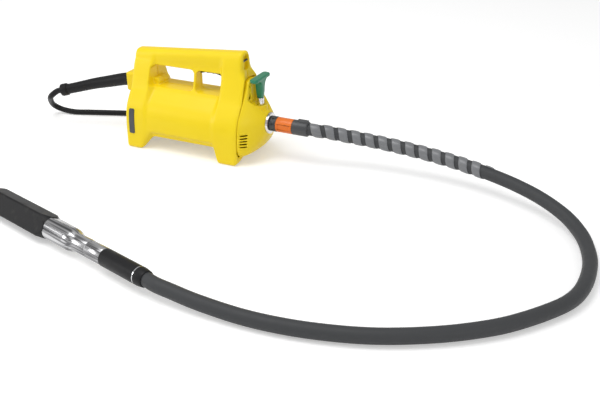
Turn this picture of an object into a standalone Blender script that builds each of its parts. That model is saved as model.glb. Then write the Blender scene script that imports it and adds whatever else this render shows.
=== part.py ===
"""Concrete vibrator: electric drive unit, flexible shaft in its hose and square vibrating head.

Metres, +Z up.  The drive axis runs along +X, from the motor to the nose.  The
origin is on the floor, in the middle of the area that the drive unit and the
head cover together.  Every piece hangs from the empty "drive_unit", which
stands on the floor below the front feet, or from the empty "head_frame".
"""
import math

import bmesh
import bpy
import numpy as np
from mathutils import Matrix, Vector

# ------------------------------------------------------------------ driving sizes
GAP = 0.0003                     # between faces that touch on the real tool
DRIVE_PLACE = (0.16166, 0.25443, 0.0)

# drive unit
AXIS_Z = 0.083                   # height of the motor's axis
HOUSING_REAR = -0.263            # back face of the two half shells
HOUSING_FRONT = 0.019            # front rim of the two half shells
WALL = 0.0035                    # plastic wall
FOOT_HALF_WIDTH = 0.079
GRIP_TOP_REAR = 0.214            # top of the grip at its two ends
GRIP_TOP_FRONT = 0.238
GRIP_UNDERSIDE = 0.184
GRIP_HALF_WIDTH = 0.0185
SILL_Z = 0.138                   # lower edge of the hand window
WINDOW_REAR = -0.219
WINDOW_FRONT = -0.039
WINDOW_CORNER = 0.009
POST_X = -0.109                  # thin post between hand window and switch window
POST_THICKNESS = 0.006
POST_HALF_WIDTH = 0.008
BELLY_Z = 0.030                  # underside between the feet
BAND_TOP_Z = 0.0455              # the belly is set back below this height
REAR_FOOT = (-0.263, -0.231)
FRONT_FOOT = (-0.026, 0.007)
REAR_ARCH_RUN = 0.036            # length over which a foot's arch rises to the belly
FRONT_ARCH_RUN = 0.019
TOE_ROUND = 0.012                # the front feet curve up towards the nose
COLUMN_BLEND = 0.012             # length over which a column turns into the side panel
GRIP_FRONT = 0.009               # front face of the grip, behind the front rim
BROW_Z = (0.180, 0.200)          # between these heights the front slopes back to the grip
RIB_THICKNESS = 0.004
RIB_TOP_Z = 0.130
AIR_OPENING = (0.005, 0.013, 0.044)     # in a rib: distance from the seat, width, height

# motor
STATOR_SPAN = (-0.190, -0.090)
STATOR_RADIUS = 0.043
STATOR_INNER = 0.0365
POLE_BORE = 0.027
POLE_HALF_ANGLE = math.radians(38)
COIL_ANGLE = math.radians(51)
COIL_WIRE_RADIUS = 0.0036
COIL_OVERHANG = 0.009
ARMATURE_RADIUS = 0.0262
SHAFT_RADIUS = 0.0075
SHAFT_SPAN = (-0.262, 0.007)
COMMUTATOR_SPAN = (-0.240, -0.212)
COMMUTATOR_RADIUS = 0.018
BRUSH_SIZE = (0.010, 0.022, 0.007)      # along the axis, towards it, across
BRUSH_CASE_WALL = 0.0015
BRUSH_CARRIER = (-0.2335, -0.2305, 0.0430, 0.0350)      # rear, front, outer radius, bore
FAN_SPAN = (-0.072, -0.052)
FAN_RADIUS = 0.040
FAN_BLADES = 9
BEARING_WIDTH = 0.011
BEARING_RADIUS = 0.0175
REAR_BEARING_X = -0.258
FRONT_BEARING_X = -0.008
SOCKET_SPAN = (0.0075, 0.034)
SOCKET_RADIUS = 0.0115
SQUARE_BORE = 0.0100
SQUARE_DRIVE = 0.0094
TANG_SPAN = (0.0110, 0.0640)
TANG_RADIUS = 0.0080

# nose, its steel ring and the lock plunger
NOSE_FRONT = 0.062
NOSE_TOP = 0.179
NOSE_END_RADIUS = 0.0262
RING_RADIUS = 0.0236
RING_FRONT = 0.0672
RING_TUBE_RADIUS = 0.0195
RING_TUBE_REAR = 0.022
SPIGOT_RADIUS = 0.0152
SPIGOT_REAR = 0.030
GROOVE_DEPTH = 0.0025
GROOVE_WIDTH = 0.0080
PLUNGER_X = 0.041
BOSS_TOP = 0.124
BOSS_RADIUS = 0.0155
BARREL_RADIUS = 0.0078
BARREL_TOP = 0.139
PIN_RADIUS = 0.0030
KNOB_LENGTH = 0.068
KNOB_WIDTH = 0.019
KNOB_TOP = 0.187
VENT_SLOTS = 5
VENT_SPAN = (0.024, 0.038)
VENT_FOOT_Z = 0.044
VENT_PITCH = 0.0062
VENT_HEIGHT = 0.0030

# rear cover and cable entry
COVER_HALF_WIDTH = 0.052
COVER_Z = (0.018, 0.106)
COVER_DEPTH_TOP = 0.004
COVER_DEPTH_LOW = 0.024
COVER_CORNER = 0.014
COVER_WALL = 0.003
COVER_SLOTS = 6
COVER_SLOT_PITCH = 0.010
COVER_SLOT_HEIGHT = 0.0035
ENTRY_REAR = -0.294
ENTRY_Z = 0.134
ENTRY_HALF_WIDTH = 0.020
ENTRY_HALF_HEIGHT = 0.022
ENTRY_SCREW_AT = (0.0143, 0.0163)        # across and up from the sleeve's axis
ENTRY_SCREW_HEAD_RADIUS = 0.0032
SLEEVE_SHOULDER_X = -0.272
SLEEVE_ROOT_RADIUS = 0.0145
SLEEVE_END_RADIUS = 0.0120
SLEEVE_RIM_RADIUS = 0.0146
CABLE_RADIUS = 0.00675

# flexible shaft
COLLAR_RADIUS = 0.0168
COLLAR_END = 0.082
BAND_RADIUS = 0.0164
BAND_END = 0.120
TAIL_RADIUS = 0.0165
TAIL_END = 0.156
HOSE_RADIUS = 0.013
HOSE_BORE = 0.0085
CORE_RADIUS = 0.0055
HOSE_START_X = 0.124
GUARD_PITCH = 0.0295
GUARD_BAND = 0.0190
GUARD_THICKNESS = 0.0009
GUARD_TURNS = 13
GUARD_BORE = 0.0144
GUARD_START = 0.1575
GUARD_TURN_POINTS = 10

# vibrating head, measured along its own axis from the hose joint
HEAD_HEADING = math.radians(180 - 16.3)
HEAD_ROLL = math.radians(27)
FITTING_LENGTH = 0.108
FITTING_RADIUS = 0.0165
HOSE_IN_FITTING = 0.020
NECK_THIN_RADIUS = 0.0165
NECK_THICK_RADIUS = 0.0215
NECK_STEP = (0.178, 0.204)
BLOCK_SPAN = (0.264, 0.452)
NECK_SPIGOT_LENGTH = 0.022       # how far the neck reaches into the block's bore
BLOCK_END_WALL = 0.012
BLOCK_SIDE = 0.042
BLOCK_CORNER = 0.004
HEAD_PLACE = (0.121, -0.574,     # the rolled block rests on its lowest rounded edge
              (BLOCK_SIDE / 2 - BLOCK_CORNER) * (math.cos(HEAD_ROLL) + math.sin(HEAD_ROLL)) + BLOCK_CORNER)
BLOCK_BORE = 0.0150
HEAD_SHAFT_RADIUS = 0.0055
CORE_IN_HEAD = 0.140
NECK_BORE = 0.0082
NECK_SPIGOT_RADIUS = 0.0120
NECK_FLAT = 0.0200
WEIGHT_RADIUS = 0.0125
HEAD_BEARING_WIDTH = 0.010
HEAD_BEARING_ROOM = (0.0055, 0.0045)     # neck to rear bearing, front bearing to the bore's end
WEIGHT_ROOM = (0.0105, 0.0095)           # between the weight and its two bearings

# mains lead: hank behind the drive unit
HANK_CENTRE = (-0.200, 0.170)
HANK_RUN = 0.138
HANK_INNER_RADIUS = 0.0415
HANK_STEP = 0.0155
HANK_LAYER = 0.0145
HANK_LOOP_POINTS = 24
PLUG_RADIUS = 0.0195
PLUG_LENGTH = 0.062
PLUG_REAR_X = -0.150
PLUG_Y = 0.116

TURN_STEPS = 20


# ------------------------------------------------------------------ scene and materials
for old in list(bpy.data.objects):
    bpy.data.objects.remove(old, do_unlink=True)
parts = bpy.data.collections.new("concrete_vibrator")
tools = bpy.data.collections.new("cutters_and_guides")
bpy.context.scene.collection.children.link(parts)
bpy.context.scene.collection.children.link(tools)


def material(name, colour, roughness, metallic=0.0):
    """A Principled BSDF of one colour."""
    made = bpy.data.materials.new(name)
    made.use_nodes = True
    shader = made.node_tree.nodes["Principled BSDF"]
    shader.inputs["Base Color"].default_value = (*colour, 1.0)
    shader.inputs["Roughness"].default_value = roughness
    shader.inputs["Metallic"].default_value = metallic
    return made


YELLOW = material("yellow_plastic", (0.90, 0.62, 0.01), 0.42)
BLACK = material("black_rubber", (0.020, 0.020, 0.021), 0.60)
HOSE_GREY = material("hose_rubber", (0.055, 0.057, 0.060), 0.70)
GREY = material("grey_plastic", (0.13, 0.13, 0.14), 0.50)
GREEN = material("green_plastic", (0.010, 0.22, 0.10), 0.40)
ORANGE = material("orange_plastic", (0.85, 0.16, 0.02), 0.45)
STEEL = material("bright_steel", (0.62, 0.62, 0.63), 0.22, 1.0)
DARK_STEEL = material("blackened_steel", (0.060, 0.060, 0.062), 0.45, 0.6)
COPPER = material("copper", (0.72, 0.33, 0.16), 0.35, 1.0)
CARBON = material("carbon", (0.03, 0.03, 0.03), 0.65)


def empty(name, place, parent=None):
    """A frame that pieces hang from."""
    frame = bpy.data.objects.new(name, None)
    frame.empty_display_size = 0.02
    tools.objects.link(frame)
    frame.location = place
    frame.parent = parent
    return frame


drive_unit = empty("drive_unit", DRIVE_PLACE)
head_frame = empty("head_frame", HEAD_PLACE, drive_unit)
head_frame.rotation_euler = (0.0, 0.0, HEAD_HEADING)


def put(name, data, look, parent=drive_unit):
    """Link a mesh or curve as one named piece, or as a cutter when it has no look."""
    piece = bpy.data.objects.new(name, data)
    (parts if look else tools).objects.link(piece)
    piece.parent = parent
    if look:
        data.materials.append(look)
    else:
        piece.hide_render = True
        piece.display_type = "WIRE"
    return piece


def from_bmesh(name, bm, look, parent=drive_unit, smooth=True):
    """Turn a bmesh into a piece, with sharp edges kept sharp."""
    bmesh.ops.recalc_face_normals(bm, faces=bm.faces)
    data = bpy.data.meshes.new(name)
    bm.to_mesh(data)
    bm.free()
    if smooth:
        data.shade_smooth()
        data.set_sharp_from_angle(angle=math.radians(35))
    return put(name, data, look, parent)


def combine(piece, other, operation):
    """Boolean of a piece with a cutter."""
    step = piece.modifiers.new(operation.lower() + "_" + other.name, "BOOLEAN")
    step.operation = operation
    step.object = other
    return piece


def cut(piece, *cutters):
    for cutter in cutters:
        combine(piece, cutter, "DIFFERENCE")
    return piece


def box(name, low, high, look=None, bevel=0.0, parent=drive_unit):
    """A block between two corners."""
    bm = bmesh.new()
    low, high = Vector(low), Vector(high)
    middle = Matrix.Translation((low + high) / 2)
    bmesh.ops.create_cube(bm, size=1.0, matrix=middle @ Matrix.Diagonal((*(high - low), 1.0)))
    piece = from_bmesh(name, bm, look, parent, smooth=False)
    if bevel:
        edge = piece.modifiers.new("edges", "BEVEL")
        edge.width = bevel
        edge.segments = 2
    return piece


AXES = {"X": (0.0, math.pi / 2, 0.0), "Y": (-math.pi / 2, 0.0, 0.0), "Z": (0.0, 0.0, 0.0)}


def turned(name, profile, look=None, axis="X", place=(0.0, 0.0, 0.0), closed=False,
           parent=drive_unit, steps=TURN_STEPS):
    """A turned piece: (distance along the axis, radius) points, from the far end back.

    An open profile starts and ends on the axis.  A closed one is the section of a
    ring or a tube: it runs back along the outside and forward along the bore.
    """
    data = bpy.data.meshes.new(name)
    points = [(radius, 0.0, along) for along, radius in profile]
    edges = [(i, i + 1) for i in range(len(points) - 1)]
    if closed:
        edges.append((len(points) - 1, 0))
    data.from_pydata(points, edges, [])
    piece = put(name, data, look, parent)
    piece.location = place
    piece.rotation_euler = AXES[axis]
    screw = piece.modifiers.new("turn", "SCREW")
    screw.steps = steps
    screw.render_steps = steps
    screw.use_merge_vertices = True
    screw.merge_threshold = 1e-5
    screw.use_smooth_shade = False
    return piece


def rod(name, start, end, radius, look=None, axis="X", place=(0.0, 0.0, 0.0), steps=TURN_STEPS,
        parent=drive_unit):
    """A plain round bar from one distance to another along its axis."""
    profile = [(end, 0.0), (end, radius), (start, radius), (start, 0.0)]
    return turned(name, profile, look, axis, place, parent=parent, steps=steps)


def ring(name, start, end, radius, bore, look=None, axis="X", place=(0.0, 0.0, 0.0),
         steps=TURN_STEPS, parent=drive_unit):
    """A plain tube or washer."""
    profile = [(end, radius), (start, radius), (start, bore), (end, bore)]
    return turned(name, profile, look, axis, place, closed=True, parent=parent, steps=steps)


def wire(name, points, radius, look, sides=2, closed=False, parent=drive_unit, caps=True):
    """A round tube along points, as a curve with a bevel."""
    data = bpy.data.curves.new(name, "CURVE")
    data.dimensions = "3D"
    data.bevel_depth = radius
    data.bevel_resolution = sides
    data.use_fill_caps = caps
    spline = data.splines.new("POLY")
    spline.points.add(len(points) - 1)
    for knot, place in zip(spline.points, points):
        knot.co = (*place, 1.0)
    spline.use_cyclic_u = closed
    return put(name, data, look, parent)


def smooth_route(knots, spacing):
    """Points at an even spacing on a Catmull-Rom curve through the knots."""
    knots = np.array(knots, float)
    ends = np.vstack([2 * knots[0] - knots[1], knots, 2 * knots[-1] - knots[-2]])
    t = np.linspace(0, 1, 24, endpoint=False)[:, None]
    curve = []
    for a, b, c, d in zip(ends, ends[1:], ends[2:], ends[3:]):
        curve.append(b + 0.5 * t * (c - a + t * (2 * a - 5 * b + 4 * c - d + t * (3 * (b - c) + d - a))))
    curve = np.vstack([*curve, knots[-1:]])
    travel = np.r_[0, np.cumsum(np.linalg.norm(np.diff(curve, axis=0), axis=1))]
    at = np.linspace(0, travel[-1], max(2, round(travel[-1] / spacing) + 1))
    return np.column_stack([np.interp(at, travel, curve[:, i]) for i in range(3)])


def length_of(points):
    return float(np.linalg.norm(np.diff(points, axis=0), axis=1).sum())


def step_between(value, start, end):
    """0 before start, 1 after end, smooth between; start may lie above end."""
    t = min(1.0, max(0.0, (value - start) / (end - start)))
    return t * t * (3 - 2 * t)


# ------------------------------------------------------------------ the two half shells
def grip_top(x):
    """Height of the grip's top, which rises towards the nose."""
    share = (x - HOUSING_REAR) / (HOUSING_FRONT - HOUSING_REAR)
    return GRIP_TOP_REAR + (GRIP_TOP_FRONT - GRIP_TOP_REAR) * share


def column_share(x):
    """1 in the front and rear columns, 0 in the side panel between them."""
    rear = 1 - step_between(x, WINDOW_REAR, WINDOW_REAR + COLUMN_BLEND)
    front = step_between(x, WINDOW_FRONT + 0.004 - COLUMN_BLEND, WINDOW_FRONT + 0.004)
    return max(rear, front)


def foot_share(x):
    """1 over a foot, 0 under the belly."""
    rear = 1 - step_between(x, REAR_FOOT[1], REAR_FOOT[1] + REAR_ARCH_RUN)
    front = step_between(x, FRONT_FOOT[0] - FRONT_ARCH_RUN, FRONT_FOOT[0])
    return max(rear, front)


def toe_lift(x):
    """Height of the underside's quarter circle in front of the front feet."""
    past = min(TOE_ROUND, max(0.0, x - FRONT_FOOT[1]))
    return TOE_ROUND - math.sqrt(TOE_ROUND ** 2 - past ** 2)


def front_pull(x, z):
    """Station x moved back at height z, so that the grip ends behind the front rim."""
    back = WINDOW_FRONT + 0.029
    if x <= back:
        return x
    step = (HOUSING_FRONT - GRIP_FRONT) * min(1.0, max(0.0, (z - BROW_Z[0]) / (BROW_Z[1] - BROW_Z[0])))
    return back + (x - back) * (HOUSING_FRONT - step - back) / (HOUSING_FRONT - back)


def shell_outline(x, inset=0.0):
    """Half outline (y, z) of the shell at x, from the grip's top round to the belly."""
    top = grip_top(x)
    column, foot = column_share(x), foot_share(x)
    mix = lambda panel, frame: panel + (frame - panel) * column
    low = lambda belly, ground: belly + (ground - belly) * foot
    w = GRIP_HALF_WIDTH
    points = [
        (0.0, top),
        (w * 0.62, top - 0.001),
        (w * 0.97, top - 0.009),
        (mix(w, w + 0.003), top - 0.022),
        (mix(w * 0.94, w + 0.008), GRIP_UNDERSIDE + 0.003),
        (mix(0.0285, 0.0440), SILL_Z),
        (mix(0.0460, 0.0560), 0.122),
        (mix(0.0645, 0.0680), 0.104),
        (mix(0.0735, 0.0750), 0.086),
        (mix(0.0768, 0.0780), 0.058),
        (low(0.0768, FOOT_HALF_WIDTH), low(BAND_TOP_Z, 0.018)),
        (low(0.0690, FOOT_HALF_WIDTH), low(BAND_TOP_Z - 0.0045, 0.0)),
        (low(0.0675, 0.0640), low(BELLY_Z + 0.001, 0.0)),
        (low(0.0560, 0.0480), low(BELLY_Z, 0.011)),
        (0.0, low(BELLY_Z, 0.014)),
    ]
    points = [(y, max(z, toe_lift(x))) for y, z in points]
    if not inset:
        return points
    inner = []
    for i, (y, z) in enumerate(points):
        before = points[max(0, i - 1)]
        after = points[min(len(points) - 1, i + 1)]
        along = Vector((after[0] - before[0], after[1] - before[1])).normalized()
        inner.append((max(0.0, y + along.y * inset), z - along.x * inset))
    inner[0] = (0.0, top - inset)
    inner[-1] = (0.0, points[-1][1] + inset)
    return inner


def loft(name, rings, look=None, parent=drive_unit):
    """A closed solid through rings of as many points each, with flat ends."""
    bm = bmesh.new()
    rows = [[bm.verts.new(point) for point in ring_points] for ring_points in rings]
    count = len(rows[0])
    for row, following in zip(rows, rows[1:]):
        for i in range(count):
            j = (i + 1) % count
            bm.faces.new((row[i], row[j], following[j], following[i]))
    bm.faces.new(rows[0])
    bm.faces.new(rows[-1][::-1])
    bmesh.ops.triangulate(bm, faces=[face for face in bm.faces if len(face.verts) == 4])
    return from_bmesh(name, bm, look, parent)


STATIONS = [HOUSING_REAR, HOUSING_REAR + 0.003, HOUSING_REAR + 0.008, -0.244, REAR_FOOT[1],
            WINDOW_REAR, -0.213, -0.207, REAR_FOOT[1] + REAR_ARCH_RUN, -0.150, -0.066,
            FRONT_FOOT[0] - FRONT_ARCH_RUN, -0.041, -0.035, FRONT_FOOT[0], -0.010, FRONT_FOOT[1],
            0.0140, HOUSING_FRONT]
END_ROUND = {HOUSING_REAR: 0.0035, HOUSING_REAR + 0.003: 0.0008, HOUSING_FRONT: 0.0016}


def shell_half(name, side, look):
    """One half shell as a solid: side is -1 for the near half, 1 for the far half."""
    rings = []
    for x in STATIONS:
        outline = shell_outline(x, END_ROUND.get(x, 0.0))
        outline[0] = (0.0, outline[0][1])
        outline = [(max(y, 0.0), max(z, 0.0)) for y, z in outline]
        rings.append([(front_pull(x, z), side * (y + GAP / 2), z) for y, z in outline])
    return loft(name, rings, look)


def inner_space():
    """The room inside both half shells, one solid across the middle plane."""
    rings = []
    for x in [HOUSING_REAR + WALL, *STATIONS[3:-2], HOUSING_FRONT + 0.002]:
        half = shell_outline(x, WALL)
        rings.append([(x, -y, z) for y, z in half] + [(x, y, z) for y, z in half[-2:0:-1]])
    return loft("inner_space", rings)


def window_prism(name, start, end, grow):
    """The hand window's opening between two stations, grown by a wall on every side."""
    low, high = SILL_Z - grow, GRIP_UNDERSIDE + grow
    start, end = start - grow, end + grow
    return box(name, (start, -0.1, low), (end, 0.1, high), bevel=WINDOW_CORNER)


post_rear, post_front = POST_X - POST_THICKNESS / 2, POST_X + POST_THICKNESS / 2
hand_window = window_prism("hand_window", WINDOW_REAR, POST_X - POST_THICKNESS / 2, 0.0)
switch_window = window_prism("switch_window", POST_X + POST_THICKNESS / 2, WINDOW_FRONT, 0.0)
post_sides = [box("post_side_%d" % side, (post_rear - 0.012, side * POST_HALF_WIDTH, SILL_Z),
                  (post_front + 0.012, side * 0.1, GRIP_UNDERSIDE)) for side in (-1, 1)]
window_walls = window_prism("window_walls", WINDOW_REAR, WINDOW_FRONT, WALL)
duct_boss = rod("duct_boss", -0.020, 0.020, 0.0105, axis="Y",
                place=(WINDOW_REAR + 0.006, 0.0, SILL_Z + 0.006))
cut(hand_window, duct_boss)

space = inner_space()
cut(space, window_walls)


def rib(name, x, bore, thickness=RIB_THICKNESS):
    """A rib across both half shells with a seat for a round piece and two air openings: left uncut."""
    slab = box(name, (x - thickness / 2, -0.09, -0.01), (x + thickness / 2, 0.09, RIB_TOP_Z))
    cut(slab, rod(name + "_seat", -thickness, thickness, bore, place=(x, 0.0, AXIS_Z)))
    for side in (-1, 1):
        near, far = bore + AIR_OPENING[0], bore + AIR_OPENING[0] + AIR_OPENING[1]
        cut(slab, box("%s_air_%d" % (name, side), (x - thickness, side * near, AXIS_Z - AIR_OPENING[2] / 2),
                      (x + thickness, side * far, AXIS_Z + AIR_OPENING[2] / 2)))
    return slab


# the strap slots and the front of the feet are cut in solid blocks
cut(space,
    box("strap_block_front", (GRIP_FRONT - 0.015, -0.1, NOSE_TOP - 0.0015), (0.03, 0.1, 0.25)),
    box("strap_block_rear", (HOUSING_REAR, -0.1, GRIP_TOP_REAR - 0.045), (HOUSING_REAR + 0.016, 0.1, 0.25)))
for side in (-1, 1):
    cut(space,
        box("foot_block_%d" % side, (0.015, side * 0.045, -0.01), (0.03, side * 0.09, 0.0195)),
        box("foot_corner_%d" % side, (0.015, side * 0.0708, -0.01), (0.03, side * 0.09, 0.029)))

bearing_seat = (BEARING_RADIUS + GAP, BEARING_WIDTH - 0.001)
cut(space,
    rib("rear_bearing_rib", REAR_BEARING_X + BEARING_WIDTH / 2, *bearing_seat),
    rib("brush_rib", -0.232, BRUSH_CARRIER[2] + GAP),
    rib("stator_rear_rib", STATOR_SPAN[0] + 0.012, STATOR_RADIUS + GAP),
    rib("stator_front_rib", STATOR_SPAN[1] - 0.012, STATOR_RADIUS + GAP),
    rib("front_bearing_rib", FRONT_BEARING_X + BEARING_WIDTH / 2, *bearing_seat))

REAR_COLUMN_SCREW_X, NOSE_COLUMN_SCREW_X = -0.244, -0.013
SCREWS = [(REAR_COLUMN_SCREW_X, grip_top(REAR_COLUMN_SCREW_X) - 0.0236),
          (NOSE_COLUMN_SCREW_X, grip_top(NOSE_COLUMN_SCREW_X) - 0.0224),
          (-0.238, BELLY_Z - 0.003), (-0.010, BELLY_Z - 0.003),
          (WINDOW_REAR + 0.008, SILL_Z - 0.026), (WINDOW_FRONT - 0.006, SILL_Z - 0.026)]
SCREW_RADIUS = 0.0020
SCREW_HEAD_RADIUS = 0.0038
SCREW_BOSS_RADIUS = 0.0060


def outer_y(x, z):
    """Half width of the shell at a station and a height, above the widest point."""
    outline = shell_outline(x)
    for (y0, z0), (y1, z1) in zip(outline, outline[1:]):
        if z1 <= z <= z0 and z1 < z0:
            return y0 + (y1 - y0) * (z0 - z) / (z0 - z1)
    return outline[-4][0]


for number, (x, z) in enumerate(SCREWS, 1):
    cut(space, rod("boss_%d" % number, -0.09, 0.09, SCREW_BOSS_RADIUS, axis="Y", place=(x, 0, z), steps=8))

housing_near = shell_half("housing_near", -1, YELLOW)
housing_far = shell_half("housing_far", 1, YELLOW)
for half in (housing_near, housing_far):
    cut(half, space, hand_window, switch_window, *post_sides)

for number, (x, z) in enumerate(SCREWS, 1):
    seat = outer_y(x, z) - 0.0045
    tip = -min(0.016, outer_y(x, z) - 0.006)
    cut(housing_far,
        rod("hole_%d" % number, -0.01, 0.09, SCREW_RADIUS + GAP, axis="Y", place=(x, 0, z), steps=8),
        rod("sink_%d" % number, seat, 0.09, SCREW_HEAD_RADIUS + GAP, axis="Y", place=(x, 0, z), steps=8))
    cut(housing_near, rod("thread_%d" % number, tip - GAP, 0.01, SCREW_RADIUS + GAP, axis="Y",
                          place=(x, 0, z), steps=8))
    turned("housing_screw_%d" % number,
           [(seat + 0.0026, 0.0), (seat + 0.0026, SCREW_HEAD_RADIUS - 0.0006),
            (seat + 0.0018, SCREW_HEAD_RADIUS), (seat + GAP, SCREW_HEAD_RADIUS),
            (seat + GAP, SCREW_RADIUS), (tip, SCREW_RADIUS), (tip, 0.0)],
           STEEL, axis="Y", place=(x, 0, z), steps=8)

# strap slots in the ends of the grip, each with its pin
STRAP_SLOT_HALF = 0.0105
STRAP_SLOT_DEPTH = 0.010
STRAP_PIN_RADIUS = 0.0022
for end, name, top in ((HOUSING_REAR, "rear", GRIP_TOP_REAR), (GRIP_FRONT, "front", GRIP_TOP_FRONT)):
    inward = 1 if end < 0 else -1
    faces = sorted((end - inward * 0.01, end + inward * STRAP_SLOT_DEPTH))
    slot = box("strap_slot_" + name, (faces[0], -STRAP_SLOT_HALF, top - 0.040),
               (faces[1], STRAP_SLOT_HALF, top - 0.009))
    pin_place = (end + inward * 0.0042, 0.0, top - 0.022)
    pin_hole = rod("strap_hole_" + name, -0.0165, 0.0165, STRAP_PIN_RADIUS + GAP, axis="Y",
                   place=pin_place, steps=8)
    for half in (housing_near, housing_far):
        cut(half, slot, pin_hole)
    rod("strap_pin_" + name, -0.0162, 0.0162, STRAP_PIN_RADIUS, STEEL, axis="Y", place=pin_place, steps=8)

# ------------------------------------------------------------------ nose housing
LIP_LENGTH = 0.011
LIP_INSET = 0.0020
NOSE_BASE = [(0.0, NOSE_TOP), (0.0175, NOSE_TOP), (0.0230, NOSE_TOP - 0.005), (0.0290, 0.160),
             (0.0405, SILL_Z),
             (0.0525, 0.122), (0.0650, 0.104), (0.0722, 0.086), (0.0752, 0.058), (0.0755, 0.036),
             (0.0690, 0.0215), (0.0520, 0.0180), (0.0240, 0.0180), (0.0, 0.0180)]
SHOULDER_Z = 0.150               # nose points above this drop to a low ridge behind the plunger
SHOULDER_X = (0.0255, 0.0295)
RIDGE_RADIUS = 0.0455


def nose_outline(x, inset=0.0):
    """Full outline of the nose at x: the shells' outline turning into the steel ring's circle."""
    reach = (x - HOUSING_FRONT) / (NOSE_FRONT - HOUSING_FRONT)
    reach = min(1.0, max(0.0, reach))
    half = []
    for y, z in NOSE_BASE:
        far = math.hypot(y, z - AXIS_Z)
        turn = math.atan2(z - AXIS_Z, y)
        down = max(0.0, -math.sin(turn))
        share = reach ** (1.35 + 1.9 * down * down)
        radius = far + (NOSE_END_RADIUS - far) * share
        if z > SHOULDER_Z:
            ridge = RIDGE_RADIUS + (NOSE_END_RADIUS - RIDGE_RADIUS) * share
            radius = far + (ridge - far) * step_between(x, *SHOULDER_X)
        radius -= inset
        half.append((radius * math.cos(turn), AXIS_Z + radius * math.sin(turn)))
    half[0], half[-1] = (0.0, half[0][1]), (0.0, half[-1][1])
    return [(x, -y, z) for y, z in half] + [(x, y, z) for y, z in half[-2:0:-1]]


def nose_solid(name, stations, inset, look=None):
    return loft(name, [nose_outline(x, inset) for x in stations], look)


barrel_foot = AXIS_Z + RING_TUBE_RADIUS + 0.0045 + GAP
rim_x = HOUSING_FRONT + GAP
lip_rear = HOUSING_FRONT - LIP_LENGTH
nose_rim = [(lip_rear, LIP_INSET), (rim_x, LIP_INSET), (rim_x, 0.0), (rim_x + 0.003, -0.0004)]
nose_rings = [[(at, y, z) for _, y, z in nose_outline(rim_x, inset)] for at, inset in nose_rim]
nose_rings += [nose_outline(x) for x in (SHOULDER_X[0], sum(SHOULDER_X) / 2, SHOULDER_X[1], 0.037,
                                         0.046, 0.055, NOSE_FRONT)]
nose_housing = loft("nose_housing", nose_rings, YELLOW)
plunger_boss = rod("plunger_boss", AXIS_Z + RING_TUBE_RADIUS + 0.002, BOSS_TOP, BOSS_RADIUS, axis="Z",
                   place=(PLUNGER_X, 0, 0))
combine(nose_housing, plunger_boss, "UNION")
nose_inside = nose_solid("nose_inside", (lip_rear - 0.002, rim_x, SHOULDER_X[0] - 0.003, SHOULDER_X[0],
                                         0.038, 0.048), LIP_INSET + WALL)
cut(nose_inside,
    rod("ring_seat_stock", 0.028, 0.070, RING_TUBE_RADIUS + 0.004, place=(0, 0, AXIS_Z)),
    rod("boss_stock", AXIS_Z, BOSS_TOP + 0.01, BOSS_RADIUS - 0.003, axis="Z", place=(PLUNGER_X, 0, 0)))
knob_pocket = box("knob_pocket", (0.0215, -0.0125, 0.1290), (0.045, 0.0125, 0.20))
nose_inside_wall = box("pocket_wall", (0.018, -0.018, 0.120), (0.05, 0.018, 0.20))
cut(nose_inside, nose_inside_wall)
cut(nose_housing, nose_inside, knob_pocket,
    rod("ring_seat", 0.0, 0.080, RING_TUBE_RADIUS + GAP, place=(0, 0, AXIS_Z)),
    turned("plunger_bore", [
        (0.2, 0.0), (0.2, BARREL_RADIUS + GAP), (barrel_foot - GAP, BARREL_RADIUS + GAP),
        (barrel_foot - GAP, PIN_RADIUS + GAP), (AXIS_Z, PIN_RADIUS + GAP), (AXIS_Z, 0.0)],
        axis="Z", place=(PLUNGER_X, 0, 0), steps=20))
for side in (-1, 1):
    for row in range(VENT_SLOTS):
        z = VENT_FOOT_Z + row * VENT_PITCH
        cut(nose_housing, box("vent_%d_%d" % (side, row), (VENT_SPAN[0], side * 0.040, z),
                              (VENT_SPAN[1], side * 0.090, z + VENT_HEIGHT)))

# steel ring that the shaft's spigot slides into
nose_ring_steel = turned("nose_ring", [
    (RING_FRONT, RING_RADIUS - 0.0012), (RING_FRONT - 0.0012, RING_RADIUS), (NOSE_FRONT + GAP, RING_RADIUS),
    (NOSE_FRONT + GAP, RING_TUBE_RADIUS), (RING_TUBE_REAR, RING_TUBE_RADIUS),
    (RING_TUBE_REAR, SPIGOT_RADIUS + GAP), (RING_FRONT, SPIGOT_RADIUS + GAP)],
    STEEL, place=(0, 0, AXIS_Z), closed=True, steps=24)
cut(nose_ring_steel, rod("ring_pin_bore", AXIS_Z, 0.2, PIN_RADIUS + GAP, axis="Z",
                         place=(PLUNGER_X, 0, 0), steps=16))

# ------------------------------------------------------------------ lock plunger
cap_thickness = 0.003
turned("lock_barrel", [
    (BARREL_TOP, BARREL_RADIUS - 0.0008), (BARREL_TOP - 0.0008, BARREL_RADIUS), (barrel_foot, BARREL_RADIUS),
    (barrel_foot, BARREL_RADIUS - 0.0028), (BARREL_TOP - cap_thickness, BARREL_RADIUS - 0.0028),
    (BARREL_TOP - cap_thickness, PIN_RADIUS + GAP), (BARREL_TOP, PIN_RADIUS + GAP)],
    STEEL, axis="Z", place=(PLUNGER_X, 0, 0), closed=True)
groove_floor = AXIS_Z + SPIGOT_RADIUS - GROOVE_DEPTH
pin_collar = (barrel_foot + 0.0015, barrel_foot + 0.0040)
pin_top = BARREL_TOP + 0.012
turned("lock_pin", [
    (pin_top, 0.0), (pin_top, PIN_RADIUS), (pin_collar[1], PIN_RADIUS),
    (pin_collar[1], BARREL_RADIUS - 0.0032),
    (pin_collar[0], BARREL_RADIUS - 0.0032), (pin_collar[0], PIN_RADIUS),
    (groove_floor + GAP + 0.001, PIN_RADIUS),
    (groove_floor + GAP, PIN_RADIUS - 0.001), (groove_floor + GAP, 0.0)],
    STEEL, axis="Z", place=(PLUNGER_X, 0, 0), steps=16)
SPRING_TURNS = 5
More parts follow.
